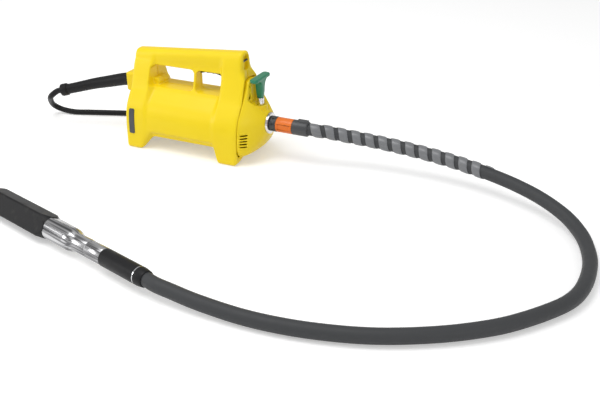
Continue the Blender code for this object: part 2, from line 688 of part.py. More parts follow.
SPRING_WIRE = 0.0004
spring_span = (pin_collar[1] + GAP + SPRING_WIRE, BARREL_TOP - cap_thickness - GAP - SPRING_WIRE)
spring_radius = (PIN_RADIUS + BARREL_RADIUS - 0.0028) / 2
turns = np.linspace(0, SPRING_TURNS, SPRING_TURNS * 8 + 1)
wire("lock_spring", np.column_stack([
    PLUNGER_X + spring_radius * np.cos(2 * np.pi * turns), spring_radius * np.sin(2 * np.pi * turns),
    spring_span[0] + (spring_span[1] - spring_span[0]) * turns / SPRING_TURNS]), SPRING_WIRE, STEEL, sides=0)


def rounded_rectangle(half_x, half_y, z, corner, count=4):
    """Points of a level rectangle with round corners, in the plunger's own frame."""
    points = []
    for quarter, (sx, sy) in enumerate(((1, 1), (-1, 1), (-1, -1), (1, -1))):
        for step in range(count):
            turn = math.pi / 2 * (quarter + step / (count - 1))
            points.append((PLUNGER_X + sx * (half_x - corner) + corner * math.cos(turn),
                           sy * (half_y - corner) + corner * math.sin(turn), z))
    return points


stem_foot = BARREL_TOP + GAP
wing_foot = KNOB_TOP - 0.0085
lock_knob = loft("lock_knob", [
    rounded_rectangle(0.0068, 0.0062, stem_foot, 0.0030),
    rounded_rectangle(0.0080, 0.0070, stem_foot + 0.012, 0.0032),
    rounded_rectangle(0.0090, 0.0085, wing_foot - 0.006, 0.0035),
    rounded_rectangle(0.0090, 0.0130, wing_foot + 0.002, 0.0035)], GREEN)
wing = loft("knob_wing", [
    rounded_rectangle(KNOB_WIDTH / 2 - 0.0025, KNOB_LENGTH / 2 - 0.0030, wing_foot, 0.0050),
    rounded_rectangle(KNOB_WIDTH / 2, KNOB_LENGTH / 2, wing_foot + 0.003, 0.0070),
    rounded_rectangle(KNOB_WIDTH / 2, KNOB_LENGTH / 2, KNOB_TOP - 0.0025, 0.0070),
    rounded_rectangle(KNOB_WIDTH / 2 - 0.0020, KNOB_LENGTH / 2 - 0.0020, KNOB_TOP, 0.0055)])
combine(lock_knob, wing, "UNION")
cut(lock_knob, rod("knob_bore", 0.10, pin_top + GAP, PIN_RADIUS + GAP, axis="Z", place=(PLUNGER_X, 0, 0),
                   steps=16))

# ------------------------------------------------------------------ rear cover and cable entry
def cover_outline(x_top, x_low, inset):
    """Rounded rectangle in the plane across the axis; its lower edge lies further back."""
    half = COVER_HALF_WIDTH - inset
    low, high = COVER_Z[0] + inset, COVER_Z[1] - inset
    corner = COVER_CORNER - inset / 2
    points = []
    for quarter, (sy, z) in enumerate(((1, high), (-1, high), (-1, low), (1, low))):
        centre_z = z - corner if z == high else z + corner
        for step in range(4):
            turn = math.pi / 2 * (quarter + step / 3)
            y = sy * (half - corner) + corner * math.cos(turn)
            z_here = centre_z + corner * math.sin(turn)
            share = (z_here - COVER_Z[0]) / (COVER_Z[1] - COVER_Z[0])
            points.append((x_low + (x_top - x_low) * share, y, z_here))
    return points


seat_x = HOUSING_REAR - GAP
top_x, low_x = HOUSING_REAR - COVER_DEPTH_TOP, HOUSING_REAR - COVER_DEPTH_LOW
rear_cover = loft("rear_cover", [
    cover_outline(seat_x, seat_x, 0.0),
    cover_outline(top_x + 0.003, low_x + 0.005, 0.0),
    cover_outline(top_x, low_x, 0.004)], YELLOW)
cover_inside = loft("cover_inside", [
    cover_outline(HOUSING_REAR + 0.01, HOUSING_REAR + 0.01, COVER_WALL),
    cover_outline(top_x + COVER_WALL + 0.001, low_x + COVER_WALL + 0.001, COVER_WALL + 0.003)])
screw_y = COVER_HALF_WIDTH - 0.010
COVER_SCREWS = [(y, z) for y in (-screw_y, screw_y) for z in (COVER_Z[0] + 0.016, COVER_Z[1] - 0.014)]
for number, (y, z) in enumerate(COVER_SCREWS, 1):
    cut(cover_inside, rod("cover_boss_%d" % number, -0.32, -0.25, 0.0065, place=(0, y, z), steps=8))
cut(rear_cover, cover_inside)
slot_half = COVER_HALF_WIDTH - 0.018
for row in range(COVER_SLOTS):
    z = COVER_Z[0] + 0.018 + row * COVER_SLOT_PITCH
    cut(rear_cover, box("cover_slot_%d" % row, (low_x - 0.03, -slot_half, z),
                        (HOUSING_REAR - 0.0012, slot_half, z + COVER_SLOT_HEIGHT)))
cover_screw_tip = HOUSING_REAR + 0.010
for number, (y, z) in enumerate(COVER_SCREWS, 1):
    share = (z - COVER_Z[0]) / (COVER_Z[1] - COVER_Z[0])
    face = low_x + (top_x - low_x) * share
    head_x = face + 0.0035
    cut(rear_cover,
        rod("cover_hole_%d" % number, -0.33, -0.25, SCREW_RADIUS + GAP, place=(0, y, z), steps=8),
        rod("cover_sink_%d" % number, -0.33, head_x + GAP, SCREW_HEAD_RADIUS + GAP,
            place=(0, y, z), steps=8))
    for half in (housing_near, housing_far):
        if (y < 0) == (half is housing_near):
            cut(half, rod("cover_thread_%d" % number, -0.27, cover_screw_tip + GAP, SCREW_RADIUS + GAP,
                          place=(0, y, z), steps=8))
    turned("cover_screw_%d" % number,
           [(cover_screw_tip, 0.0), (cover_screw_tip, SCREW_RADIUS), (head_x, SCREW_RADIUS),
            (head_x, SCREW_HEAD_RADIUS), (head_x - 0.0024, SCREW_HEAD_RADIUS - 0.0004),
            (head_x - 0.0024, 0.0)], STEEL, place=(0, y, z), steps=8)
air_inlet = rod("air_inlet", -0.27, HOUSING_REAR + WALL + 0.001, 0.033, place=(0, 0, AXIS_Z - 0.012))
lead_hole = rod("lead_hole", -0.27, HOUSING_REAR + WALL + 0.001, CABLE_RADIUS + 0.002,
                place=(0, 0, ENTRY_Z), steps=16)
for half in (housing_near, housing_far):
    cut(half, air_inlet, lead_hole)

cable_entry = box("cable_entry", (ENTRY_REAR, -ENTRY_HALF_WIDTH, ENTRY_Z - ENTRY_HALF_HEIGHT),
                  (seat_x, ENTRY_HALF_WIDTH, ENTRY_Z + ENTRY_HALF_HEIGHT), YELLOW, bevel=0.005)
cut(cable_entry,
    rod("sleeve_bore", -0.32, SLEEVE_SHOULDER_X, SLEEVE_ROOT_RADIUS + 2 * GAP, place=(0, 0, ENTRY_Z)),
    rod("lead_bore", -0.32, -0.25, CABLE_RADIUS + 0.001, place=(0, 0, ENTRY_Z), steps=16))
for number, side in enumerate((-1, 1), 1):
    y, z = side * ENTRY_SCREW_AT[0], ENTRY_Z - side * ENTRY_SCREW_AT[1]
    head_x = ENTRY_REAR + 0.0030
    tip_x = HOUSING_REAR + 0.010
    cut(cable_entry,
        rod("entry_hole_%d" % number, -0.33, -0.25, SCREW_RADIUS + GAP, place=(0, y, z), steps=8),
        rod("entry_sink_%d" % number, -0.33, head_x + GAP, ENTRY_SCREW_HEAD_RADIUS + GAP,
            place=(0, y, z), steps=8))
    cut(housing_near if side < 0 else housing_far,
        rod("entry_thread_%d" % number, -0.27, tip_x + GAP, SCREW_RADIUS + GAP, place=(0, y, z), steps=8))
    turned("entry_screw_%d" % number,
           [(tip_x, 0.0), (tip_x, SCREW_RADIUS), (head_x, SCREW_RADIUS), (head_x, ENTRY_SCREW_HEAD_RADIUS),
            (head_x - 0.0022, ENTRY_SCREW_HEAD_RADIUS - 0.0004), (head_x - 0.0022, 0.0)],
           STEEL, place=(0, y, z), steps=8)

# plain plate on the near rear corner
PLATE_SPAN = (HOUSING_REAR + 0.0095, HOUSING_REAR + 0.0230)
PLATE_THICKNESS = 0.0012
plate_inside = [(-outer_y(PLATE_SPAN[0], z) - 1.5 * GAP, z) for z in (0.036, 0.058, 0.086, 0.093)]
plate_outline = plate_inside + [(y - PLATE_THICKNESS, z) for y, z in plate_inside[::-1]]
loft("side_plate", [[(x, y, z) for y, z in plate_outline] for x in PLATE_SPAN], GREY)

# rubber sleeve of the mains lead
SLEEVE_KNOTS = [(SLEEVE_SHOULDER_X - 0.0005, 0, ENTRY_Z), (-0.290, 0, ENTRY_Z), (-0.312, -0.0005, 0.1310),
                (-0.352, -0.004, 0.1210), (-0.394, -0.010, 0.1110), (-0.434, -0.020, 0.1000),
                (-0.474, -0.032, 0.0900)]
sleeve_route = smooth_route(SLEEVE_KNOTS, 0.012)
sleeve = wire("cable_sleeve", sleeve_route, SLEEVE_ROOT_RADIUS, BLACK, sides=2)
sleeve_points = sleeve.data.splines[0].points
for i, knot in enumerate(sleeve_points):
    share = i / (len(sleeve_points) - 1)
    radius = SLEEVE_ROOT_RADIUS + (SLEEVE_END_RADIUS - SLEEVE_ROOT_RADIUS) * step_between(share, 0.08, 0.9)
    if i >= len(sleeve_points) - 2:
        radius = SLEEVE_RIM_RADIUS
    knot.radius = radius / SLEEVE_ROOT_RADIUS

# ------------------------------------------------------------------ mains lead, hank and plug
sleeve_end = Vector(sleeve_route[-1])
sleeve_way = (sleeve_end - Vector(sleeve_route[-2])).normalized()
lead_start = sleeve_end + sleeve_way * 2.5 * GAP
HANK_FLOOR_Z = CABLE_RADIUS + 0.0002
near_run_y = HANK_CENTRE[1] - HANK_INNER_RADIUS - 2 * HANK_STEP
LEAD_KNOTS = [tuple(lead_start), tuple(lead_start + sleeve_way * 0.012), (-0.503, -0.040, 0.073),
              (-0.535, -0.007, 0.046), (-0.548, 0.017, 0.024), (-0.535, 0.030, 0.011),
              (-0.502, 0.036, HANK_FLOOR_Z), (-0.465, 0.049, HANK_FLOOR_Z), (-0.425, 0.064, HANK_FLOOR_Z),
              (-0.384, 0.079, HANK_FLOOR_Z), (-0.345, 0.091, HANK_FLOOR_Z),
              (-0.305, near_run_y, HANK_FLOOR_Z),
              (HANK_CENTRE[0] - HANK_RUN / 2 - GAP, near_run_y, HANK_FLOOR_Z)]
wire("mains_cable", smooth_route(LEAD_KNOTS, 0.015), CABLE_RADIUS, BLACK, sides=1)


def hank_place(turn):
    """Centre of the wound lead after so many turns round the hank."""
    over = step_between(turn, 2.0, 2.25)
    winding = min(turn, 2.0) if turn < 2.0 else max(0.0, turn - 2.25)
    radius = HANK_INNER_RADIUS + HANK_STEP * (2 - winding if turn < 2.0 else winding)
    z = HANK_FLOOR_Z + HANK_LAYER * over
    around = 2 * math.pi * radius
    lap = 2 * HANK_RUN + around
    at = (turn % 1.0) * lap
    cx, cy = HANK_CENTRE
    half = HANK_RUN / 2
    if at < HANK_RUN:
        return (cx - half + at, cy - radius, z)
    at -= HANK_RUN
    if at < around / 2:
        angle = -math.pi / 2 + at / radius
        return (cx + half + radius * math.cos(angle), cy + radius * math.sin(angle), z)
    at -= around / 2
    if at < HANK_RUN:
        return (cx + half - at, cy + radius, z)
    at -= HANK_RUN
    angle = math.pi / 2 + at / radius
    return (cx - half + radius * math.cos(angle), cy + radius * math.sin(angle), z)


plug_z = HANK_FLOOR_Z + HANK_LAYER + CABLE_RADIUS + PLUG_RADIUS + 0.0005
outer_y_top = HANK_CENTRE[1] - HANK_INNER_RADIUS - 1.75 * HANK_STEP
tail = [(PLUG_REAR_X - 0.085, outer_y_top, HANK_FLOOR_Z + HANK_LAYER + 0.0060),
        (PLUG_REAR_X - 0.052, outer_y_top + 0.0035, plug_z - 0.0105),
        (PLUG_REAR_X - 0.024, PLUG_Y - 0.002, plug_z - 0.0010), (PLUG_REAR_X - 0.010, PLUG_Y, plug_z),
        (PLUG_REAR_X - 3 * GAP, PLUG_Y, plug_z)]
hank_knots = [hank_place(turn) for turn in np.linspace(0, 3.995, 4 * HANK_LOOP_POINTS)]
hank_route = smooth_route(np.array(hank_knots + tail), 0.0215)
wire("mains_hank", hank_route, CABLE_RADIUS, BLACK, sides=1)
hank_samples = smooth_route(hank_route, 0.004)
least = min(float(np.linalg.norm(hank_samples[i + 12:] - point, axis=1).min())
            for i, point in enumerate(hank_samples[:-12]))
hank_gap = (least - 2 * CABLE_RADIUS) * 1000
print("hank: length %.3f m, least gap to itself %.2f mm" % (length_of(hank_route), hank_gap))
turned("mains_plug", [
    (PLUG_REAR_X + PLUG_LENGTH, 0.0), (PLUG_REAR_X + PLUG_LENGTH, PLUG_RADIUS),
    (PLUG_REAR_X + 0.030, PLUG_RADIUS), (PLUG_REAR_X + 0.026, PLUG_RADIUS - 0.0015),
    (PLUG_REAR_X + 0.010, 0.0130), (PLUG_REAR_X + 0.002, 0.0095), (PLUG_REAR_X, 0.0090), (PLUG_REAR_X, 0.0)],
    BLACK, place=(0, PLUG_Y, plug_z), steps=20)

# ------------------------------------------------------------------ motor
stator = ring("stator_core", *STATOR_SPAN, STATOR_RADIUS, STATOR_INNER, DARK_STEEL, place=(0, 0, AXIS_Z))
for name, turn in (("upper", math.pi / 2), ("lower", -math.pi / 2)):
    bm = bmesh.new()
    arcs = []
    for radius in (POLE_BORE, STATOR_INNER + 0.001):
        angles = np.linspace(turn - POLE_HALF_ANGLE, turn + POLE_HALF_ANGLE, 9)
        arcs.append([(radius * math.cos(angle), radius * math.sin(angle)) for angle in angles])
    outline = arcs[0] + arcs[1][::-1]
    ends = [[bm.verts.new((x, y, AXIS_Z + z)) for y, z in outline]
            for x in (STATOR_SPAN[0] + 0.0005, STATOR_SPAN[1] - 0.0005)]
    for i in range(len(outline)):
        j = (i + 1) % len(outline)
        bm.faces.new((ends[0][i], ends[0][j], ends[1][j], ends[1][i]))
    bm.faces.new(ends[0])
    bm.faces.new(ends[1][::-1])
    combine(stator, from_bmesh("pole_" + name, bm, None, smooth=False), "UNION")

    coil_radius = STATOR_INNER - COIL_WIRE_RADIUS - 0.0004
    x0, x1 = STATOR_SPAN[0] - COIL_OVERHANG, STATOR_SPAN[1] + COIL_OVERHANG
    loop = [(x, COIL_ANGLE) for x in (x0 + 0.004, x1 - 0.004)]
    loop += [(x1, angle) for angle in np.linspace(COIL_ANGLE - 0.12, -COIL_ANGLE + 0.12, 7)]
    loop += [(x, -COIL_ANGLE) for x in (x1 - 0.004, x0 + 0.004)]
    loop += [(x0, angle) for angle in np.linspace(-COIL_ANGLE + 0.12, COIL_ANGLE - 0.12, 7)]
    wire("field_coil_" + name, [(x, coil_radius * math.cos(turn + angle),
                                 AXIS_Z + coil_radius * math.sin(turn + angle)) for x, angle in loop],
         COIL_WIRE_RADIUS, COPPER, closed=True)

rod("armature_shaft", *SHAFT_SPAN, SHAFT_RADIUS, STEEL, place=(0, 0, AXIS_Z))
ring("armature_core", STATOR_SPAN[0] + 0.002, STATOR_SPAN[1] - 0.002, ARMATURE_RADIUS,
                SHAFT_RADIUS + GAP, DARK_STEEL, place=(0, 0, AXIS_Z), steps=24)
ring("commutator", *COMMUTATOR_SPAN, COMMUTATOR_RADIUS, SHAFT_RADIUS + GAP, COPPER, place=(0, 0, AXIS_Z))
ring("rear_bearing", REAR_BEARING_X, REAR_BEARING_X + BEARING_WIDTH, BEARING_RADIUS, SHAFT_RADIUS + GAP,
     STEEL, place=(0, 0, AXIS_Z))
ring("front_bearing", FRONT_BEARING_X, FRONT_BEARING_X + BEARING_WIDTH, BEARING_RADIUS, SHAFT_RADIUS + GAP,
     STEEL, place=(0, 0, AXIS_Z))

# fan: a disc with straight blades on its rear face
fan = turned("cooling_fan", [
    (FAN_SPAN[1], FAN_RADIUS), (FAN_SPAN[1] - 0.002, FAN_RADIUS), (FAN_SPAN[1] - 0.003, 0.014),
    (FAN_SPAN[0], 0.013), (FAN_SPAN[0], SHAFT_RADIUS + GAP), (FAN_SPAN[1], SHAFT_RADIUS + GAP)],
    GREY, place=(0, 0, AXIS_Z), closed=True, steps=24)
for blade in range(FAN_BLADES):
    angle = 2 * math.pi * blade / FAN_BLADES
    vane = box("fan_blade_%d" % blade, (FAN_SPAN[0] + 0.003, -0.0009, 0.0125),
               (FAN_SPAN[1] - 0.001, 0.0009, FAN_RADIUS - 0.001))
    vane.location = (0, 0, AXIS_Z)
    vane.rotation_euler = (angle, 0, 0)
    combine(fan, vane, "UNION")

# brushes each side of the commutator, in holders on one carrier ring
brush_x = (BRUSH_CARRIER[0] + BRUSH_CARRIER[1]) / 2
carrier = ring("brush_carrier", *BRUSH_CARRIER, GREY, place=(0, 0, AXIS_Z))
along, toward, across = BRUSH_SIZE
for side, name in ((-1, "near"), (1, "far")):
    reach = sorted((side * (COMMUTATOR_RADIUS + GAP), side * (COMMUTATOR_RADIUS + GAP + toward)))
    box("brush_" + name, (brush_x - along / 2, reach[0], AXIS_Z - across / 2),
        (brush_x + along / 2, reach[1], AXIS_Z + across / 2), CARBON)
    shell = BRUSH_CASE_WALL + GAP
    case = sorted((side * (COMMUTATOR_RADIUS + 0.004), side * (COMMUTATOR_RADIUS + toward + 0.0018)))
    holder = box("brush_case_%s" % name, (brush_x - along / 2 - shell, case[0], AXIS_Z - across / 2 - shell),
                 (brush_x + along / 2 + shell, case[1], AXIS_Z + across / 2 + shell))
    combine(carrier, holder, "UNION")
    well = sorted((side * 0.01, side * (COMMUTATOR_RADIUS + toward + 2 * GAP)))
    cut(carrier, box("brush_well_" + name, (brush_x - along / 2 - GAP, well[0], AXIS_Z - across / 2 - GAP),
                     (brush_x + along / 2 + GAP, well[1], AXIS_Z + across / 2 + GAP)))

# ------------------------------------------------------------------ switch
SWITCH_SPAN = (-0.103, -0.049)
SWITCH_HALF_WIDTH = 0.0078
ROCKER_Z = (GRIP_UNDERSIDE - 0.0078, GRIP_UNDERSIDE + 0.0085)
ROCKER_HOLLOW = 0.0042           # depth of the curve that the finger rests in
SWITCH_BODY_Z = (GRIP_UNDERSIDE + 0.0125, grip_top(SWITCH_SPAN[0]) - 0.0086)
switch_slot = box("switch_slot", (SWITCH_SPAN[0], -SWITCH_HALF_WIDTH - 0.0007, GRIP_UNDERSIDE - 0.01),
                  (SWITCH_SPAN[1], SWITCH_HALF_WIDTH + 0.0007, GRIP_UNDERSIDE + 0.008))
for half in (housing_near, housing_far):
    cut(half, switch_slot)
switch_body = box("switch_body", (SWITCH_SPAN[0] + 0.004, -0.0125, SWITCH_BODY_Z[0]),
                  (SWITCH_SPAN[1] - 0.004, 0.0125, SWITCH_BODY_Z[1]), GREY)
SWITCH_PIVOT = (sum(SWITCH_SPAN) / 2, 0.0, GRIP_UNDERSIDE + 0.006)
SWITCH_PIN_RADIUS = 0.0015
for side in (-1, 1):
    cheek = sorted((side * 0.0092, side * 0.0120))
    low_corner = (SWITCH_PIVOT[0] - 0.005, cheek[0], SWITCH_PIVOT[2] - 0.0022)
    high_corner = (SWITCH_PIVOT[0] + 0.005, cheek[1], SWITCH_BODY_Z[0] + 0.001)
    combine(switch_body, box("switch_cheek_%d" % side, low_corner, high_corner), "UNION")
cut(switch_body, rod("switch_pin_hole", -0.02, 0.02, SWITCH_PIN_RADIUS + GAP, axis="Y",
                     place=SWITCH_PIVOT, steps=8))
rod("switch_pin", -0.0118, 0.0118, SWITCH_PIN_RADIUS, STEEL, axis="Y", place=SWITCH_PIVOT, steps=8)
rocker_ends = (SWITCH_SPAN[0] + 0.0012, SWITCH_SPAN[1] - 0.0012)
rocker_profile = [(rocker_ends[0], ROCKER_Z[1]), (rocker_ends[0], ROCKER_Z[0])]
for share in np.linspace(0.08, 0.92, 9):
    rocker_profile.append((rocker_ends[0] + (rocker_ends[1] - rocker_ends[0]) * share,
                           ROCKER_Z[0] + ROCKER_HOLLOW * math.sin(math.pi * share)))
rocker_profile += [(rocker_ends[1], ROCKER_Z[0]), (rocker_ends[1], ROCKER_Z[1])]
rocker_sides = (-SWITCH_HALF_WIDTH, SWITCH_HALF_WIDTH)
rocker = loft("switch_rocker", [[(x, y, z) for x, z in rocker_profile] for y in rocker_sides], BLACK)
cut(rocker, rod("rocker_bore", -0.02, 0.02, SWITCH_PIN_RADIUS + GAP, axis="Y", place=SWITCH_PIVOT, steps=8))

# lead from the entry through the rear column and the grip to the switch
INNER_LEAD_RADIUS = 0.0026
INNER_LEAD_KNOTS = [
    (SLEEVE_SHOULDER_X + GAP, 0, ENTRY_Z), (HOUSING_REAR + 0.003, 0, ENTRY_Z + 0.0002),
    (HOUSING_REAR + 0.017, 0, SILL_Z - 0.0005), (HOUSING_REAR + 0.029, 0, SILL_Z + 0.012),
    (WINDOW_REAR - 0.0115, 0, GRIP_UNDERSIDE - 0.014), (WINDOW_REAR - 0.011, 0, GRIP_UNDERSIDE + 0.004),
    (WINDOW_REAR - 0.005, 0, GRIP_UNDERSIDE + 0.016), (WINDOW_REAR + 0.014, 0, GRIP_UNDERSIDE + 0.020),
    (WINDOW_REAR + 0.069, 0, GRIP_UNDERSIDE + 0.022), (SWITCH_SPAN[0] + 0.0035, 0, GRIP_UNDERSIDE + 0.023)]
wire("inner_lead", smooth_route(INNER_LEAD_KNOTS, 0.011), INNER_LEAD_RADIUS, BLACK, sides=1)

# ------------------------------------------------------------------ coupling of the flexible shaft
collar = turned("coupling_collar", [
    (COLLAR_END, COLLAR_RADIUS - 0.0006), (COLLAR_END - 0.0006, COLLAR_RADIUS),
    (RING_FRONT + 0.0006, COLLAR_RADIUS),
    (RING_FRONT + 0.0006, SPIGOT_RADIUS), (PLUNGER_X + GROOVE_WIDTH / 2, SPIGOT_RADIUS),
    (PLUNGER_X + GROOVE_WIDTH / 2, SPIGOT_RADIUS - GROOVE_DEPTH),
    (PLUNGER_X - GROOVE_WIDTH / 2, SPIGOT_RADIUS - GROOVE_DEPTH),
    (PLUNGER_X - GROOVE_WIDTH / 2, SPIGOT_RADIUS), (SPIGOT_REAR + 0.001, SPIGOT_RADIUS),
    (SPIGOT_REAR, SPIGOT_RADIUS - 0.001), (SPIGOT_REAR, 0.0119),
    (0.0665, 0.0119), (0.0665, 0.0090), (0.1236, 0.0090), (0.1236, 0.0115), (COLLAR_END, 0.0115)],
    GREY, place=(0, 0, AXIS_Z), closed=True)
GRIP_HOLES = 4
for number in range(GRIP_HOLES):
    angle = 2 * math.pi * (number + 0.15) / GRIP_HOLES
    dimple = rod("grip_hole_%d" % number, COLLAR_RADIUS - 0.0012, COLLAR_RADIUS + 0.004, 0.0022, axis="Z",
                 place=(0.0745, 0, AXIS_Z), steps=8)
    dimple.rotation_euler = (angle, 0.0, 0.0)
    cut(collar, dimple)
band = turned("coupling_band", [
    (BAND_END, BAND_RADIUS - 0.0006), (BAND_END - 0.0006, BAND_RADIUS),
    (COLLAR_END + GAP + 0.0006, BAND_RADIUS),
    (COLLAR_END + GAP, BAND_RADIUS - 0.0006), (COLLAR_END + GAP, 0.0118), (BAND_END, 0.0118)],
    ORANGE, place=(0, 0, AXIS_Z), closed=True, steps=24)
cut(band, box("band_panel", (0.087, -0.03, AXIS_Z - 0.006), (0.113, -BAND_RADIUS + 0.0018, AXIS_Z + 0.006)))
tail_piece = turned("coupling_tail", [
    (TAIL_END, TAIL_RADIUS - 0.0014), (TAIL_END - 0.0014, TAIL_RADIUS),
    (BAND_END + GAP + 0.0006, TAIL_RADIUS),
    (BAND_END + GAP, TAIL_RADIUS - 0.0006), (BAND_END + GAP, 0.0118), (HOSE_START_X, 0.0118),
    (HOSE_START_X, HOSE_RADIUS + GAP), (TAIL_END, HOSE_RADIUS + GAP)],
    BLACK, place=(0, 0, AXIS_Z), closed=True)
combine(tail_piece, box("tail_tab", (0.130, -0.006, AXIS_Z + TAIL_RADIUS - 0.0012),
                        (TAIL_END - 0.002, 0.006, AXIS_Z + TAIL_RADIUS + 0.0022)), "UNION")

# square drive: the socket turns with the motor, the tang slides into it
socket = rod("drive_socket", SHAFT_SPAN[1] + GAP, SOCKET_SPAN[1], SOCKET_RADIUS, STEEL, place=(0, 0, AXIS_Z))
half_bore = SQUARE_BORE / 2
cut(socket, box("square_bore", (TANG_SPAN[0] - GAP, -half_bore, AXIS_Z - half_bore),
                (0.05, half_bore, AXIS_Z + half_bore)))
half_drive = SQUARE_DRIVE / 2
tang = rod("drive_tang", TANG_SPAN[1] - 0.016, TANG_SPAN[1], TANG_RADIUS, STEEL, place=(0, 0, AXIS_Z))
combine(tang, box("square_tang", (TANG_SPAN[0], -half_drive, AXIS_Z - half_drive),
                  (TANG_SPAN[1] - 0.015, half_drive, AXIS_Z + half_drive)), "UNION")

# ------------------------------------------------------------------ hose with its core and spiral guard
HOSE_KNOTS = [
    (TAIL_END + 0.001, 0.0, AXIS_Z), (0.175, 0.003, 0.0820), (0.197, 0.010, 0.0795),
    (0.224, 0.017, 0.0755), (0.262, 0.025, 0.0710),
    (0.304, 0.030, 0.0675), (0.345, 0.033, 0.0640), (0.386, 0.034, 0.0605), (0.428, 0.033, 0.0570),
    (0.470, 0.029, 0.0535), (0.506, 0.023, 0.0505), (0.539, 0.015, 0.0480), (0.600, -0.006, 0.0435),
    (0.656, -0.032, 0.0370), (0.707, -0.067, 0.0280), (0.741, -0.106, 0.0190), (0.760, -0.150, 0.0160),
    (0.772, -0.205, 0.0152), (0.773, -0.270, 0.0152), (0.762, -0.325, 0.0152), (0.734, -0.375, 0.0152),
    (0.681, -0.439, 0.0152), (0.624, -0.486, 0.0152), (0.566, -0.522, 0.0152), (0.505, -0.551, 0.0152),
    (0.441, -0.571, 0.0152), (0.373, -0.584, 0.0152), (0.301, -0.589, 0.0157), (0.224, -0.587, 0.0190),
    (0.170, -0.582, 0.0228), (0.142, -0.5795, 0.0252), HEAD_PLACE]
head_way = np.array([math.cos(HEAD_HEADING), math.sin(HEAD_HEADING), 0.0])
hose_end = np.array(HEAD_PLACE) + head_way * HOSE_IN_FITTING


def frames_along(points):
    """Tangent, normal and binormal at each point, turning as little as possible."""
    points = np.array(points, float)
    ways = np.gradient(points, axis=0)
    ways /= np.linalg.norm(ways, axis=1)[:, None]
    normals = [np.array([0.0, 0.0, 1.0])]
    for way in ways:
        normal = normals[-1] - way * float(normals[-1] @ way)
        normals.append(normal / np.linalg.norm(normal))
    normals = np.array(normals[1:])
    return points, normals, np.cross(ways, normals)


def hollow_tube(name, points, radius, bore, look, sides=8):
    """A closed tube with a bore that follows the points."""
    centres, normals, sideways = frames_along(points)
    bm = bmesh.new()
    turn = [2 * math.pi * i / sides for i in range(sides)]
    skins = [[[bm.verts.new(c + size * (math.cos(t) * n + math.sin(t) * b)) for t in turn]
              for c, n, b in zip(centres, normals, sideways)] for size in (radius, bore)]
    for skin in skins:
        for row, following in zip(skin, skin[1:]):
            for i in range(sides):
                j = (i + 1) % sides
                bm.faces.new((row[i], row[j], following[j], following[i]))
    for end in (0, -1):
        for i in range(sides):
            j = (i + 1) % sides
            bm.faces.new((skins[0][end][i], skins[0][end][j], skins[1][end][j], skins[1][end][i]))
    return from_bmesh(name, bm, look)


hose_start = HOSE_START_X + GAP
full_route = np.vstack([[(0.0, 0.0, AXIS_Z), (hose_start, 0.0, AXIS_Z)],
                        smooth_route(HOSE_KNOTS, 0.0300), [hose_end]])
route_travel = np.r_[0, np.cumsum(np.linalg.norm(np.diff(full_route, axis=0), axis=1))]
route_centres, route_normals, route_sideways = frames_along(full_route)


def on_route(travel):
    """Centre, normal and binormal of the hose at a distance from the motor's end."""
    pick = lambda values: np.array([np.interp(travel, route_travel, values[:, i]) for i in range(3)])
    return pick(route_centres), pick(route_normals), pick(route_sideways)


hollow_tube("hose", full_route[1:], HOSE_RADIUS, HOSE_BORE, HOSE_GREY)
core_start = TANG_SPAN[1] + GAP
core_points = [on_route(core_start)[0], *full_route[1:]]
core_end = np.array(HEAD_PLACE) + head_way * CORE_IN_HEAD
core_points += [np.array(HEAD_PLACE) + head_way * (HOSE_IN_FITTING + CORE_IN_HEAD) / 2, core_end]
wire("flexible_core", core_points, CORE_RADIUS, STEEL, sides=1)

guard_steps = round(GUARD_TURNS * GUARD_TURN_POINTS)
bm = bmesh.new()
guard_rings = []
for step in range(guard_steps + 1):
    turn = 2 * math.pi * step / GUARD_TURN_POINTS
    section = []
    for depth, order in ((GUARD_BORE + GUARD_THICKNESS, (0, 1, 2)), (GUARD_BORE, (2, 1, 0))):
        for share in order:
            centre, normal, sideways = on_route(
                GUARD_START + GUARD_PITCH * step / GUARD_TURN_POINTS + GUARD_BAND * share / 2)
            outward = math.cos(turn) * normal + math.sin(turn) * sideways
            section.append(bm.verts.new(centre + depth * outward))
    guard_rings.append(section)
for row, following in zip(guard_rings, guard_rings[1:]):
    for i in range(6):
        j = (i + 1) % 6
        bm.faces.new((row[i], row[j], following[j], following[i]))
bm.faces.new(guard_rings[0])
bm.faces.new(guard_rings[-1][::-1])
bmesh.ops.triangulate(bm, faces=bm.faces)
from_bmesh("spiral_guard", bm, GREY)
print("hose: length %.3f m" % length_of(full_route[1:]))

# ------------------------------------------------------------------ vibrating head
turned("hose_end_fitting", [
    (FITTING_LENGTH, FITTING_RADIUS - 0.0007), (FITTING_LENGTH - 0.0008, FITTING_RADIUS),
    (0.0205, FITTING_RADIUS), (0.0205, FITTING_RADIUS - 0.0006), (0.0180, FITTING_RADIUS - 0.0006),
    (0.0180, FITTING_RADIUS),
    (0.0120, FITTING_RADIUS), (0.0015, 0.0150), (0.0, 0.0146), (0.0, HOSE_RADIUS + 3 * GAP),
    (0.0060, HOSE_RADIUS + GAP),
    (HOSE_IN_FITTING + GAP, HOSE_RADIUS + GAP), (HOSE_IN_FITTING + GAP, NECK_BORE),
    (FITTING_LENGTH - 0.0203, NECK_BORE), (FITTING_LENGTH - 0.0203, NECK_SPIGOT_RADIUS + GAP),
    (FITTING_LENGTH, NECK_SPIGOT_RADIUS + GAP)], BLACK, closed=True, parent=head_frame)
neck_end = BLOCK_SPAN[0] + NECK_SPIGOT_LENGTH
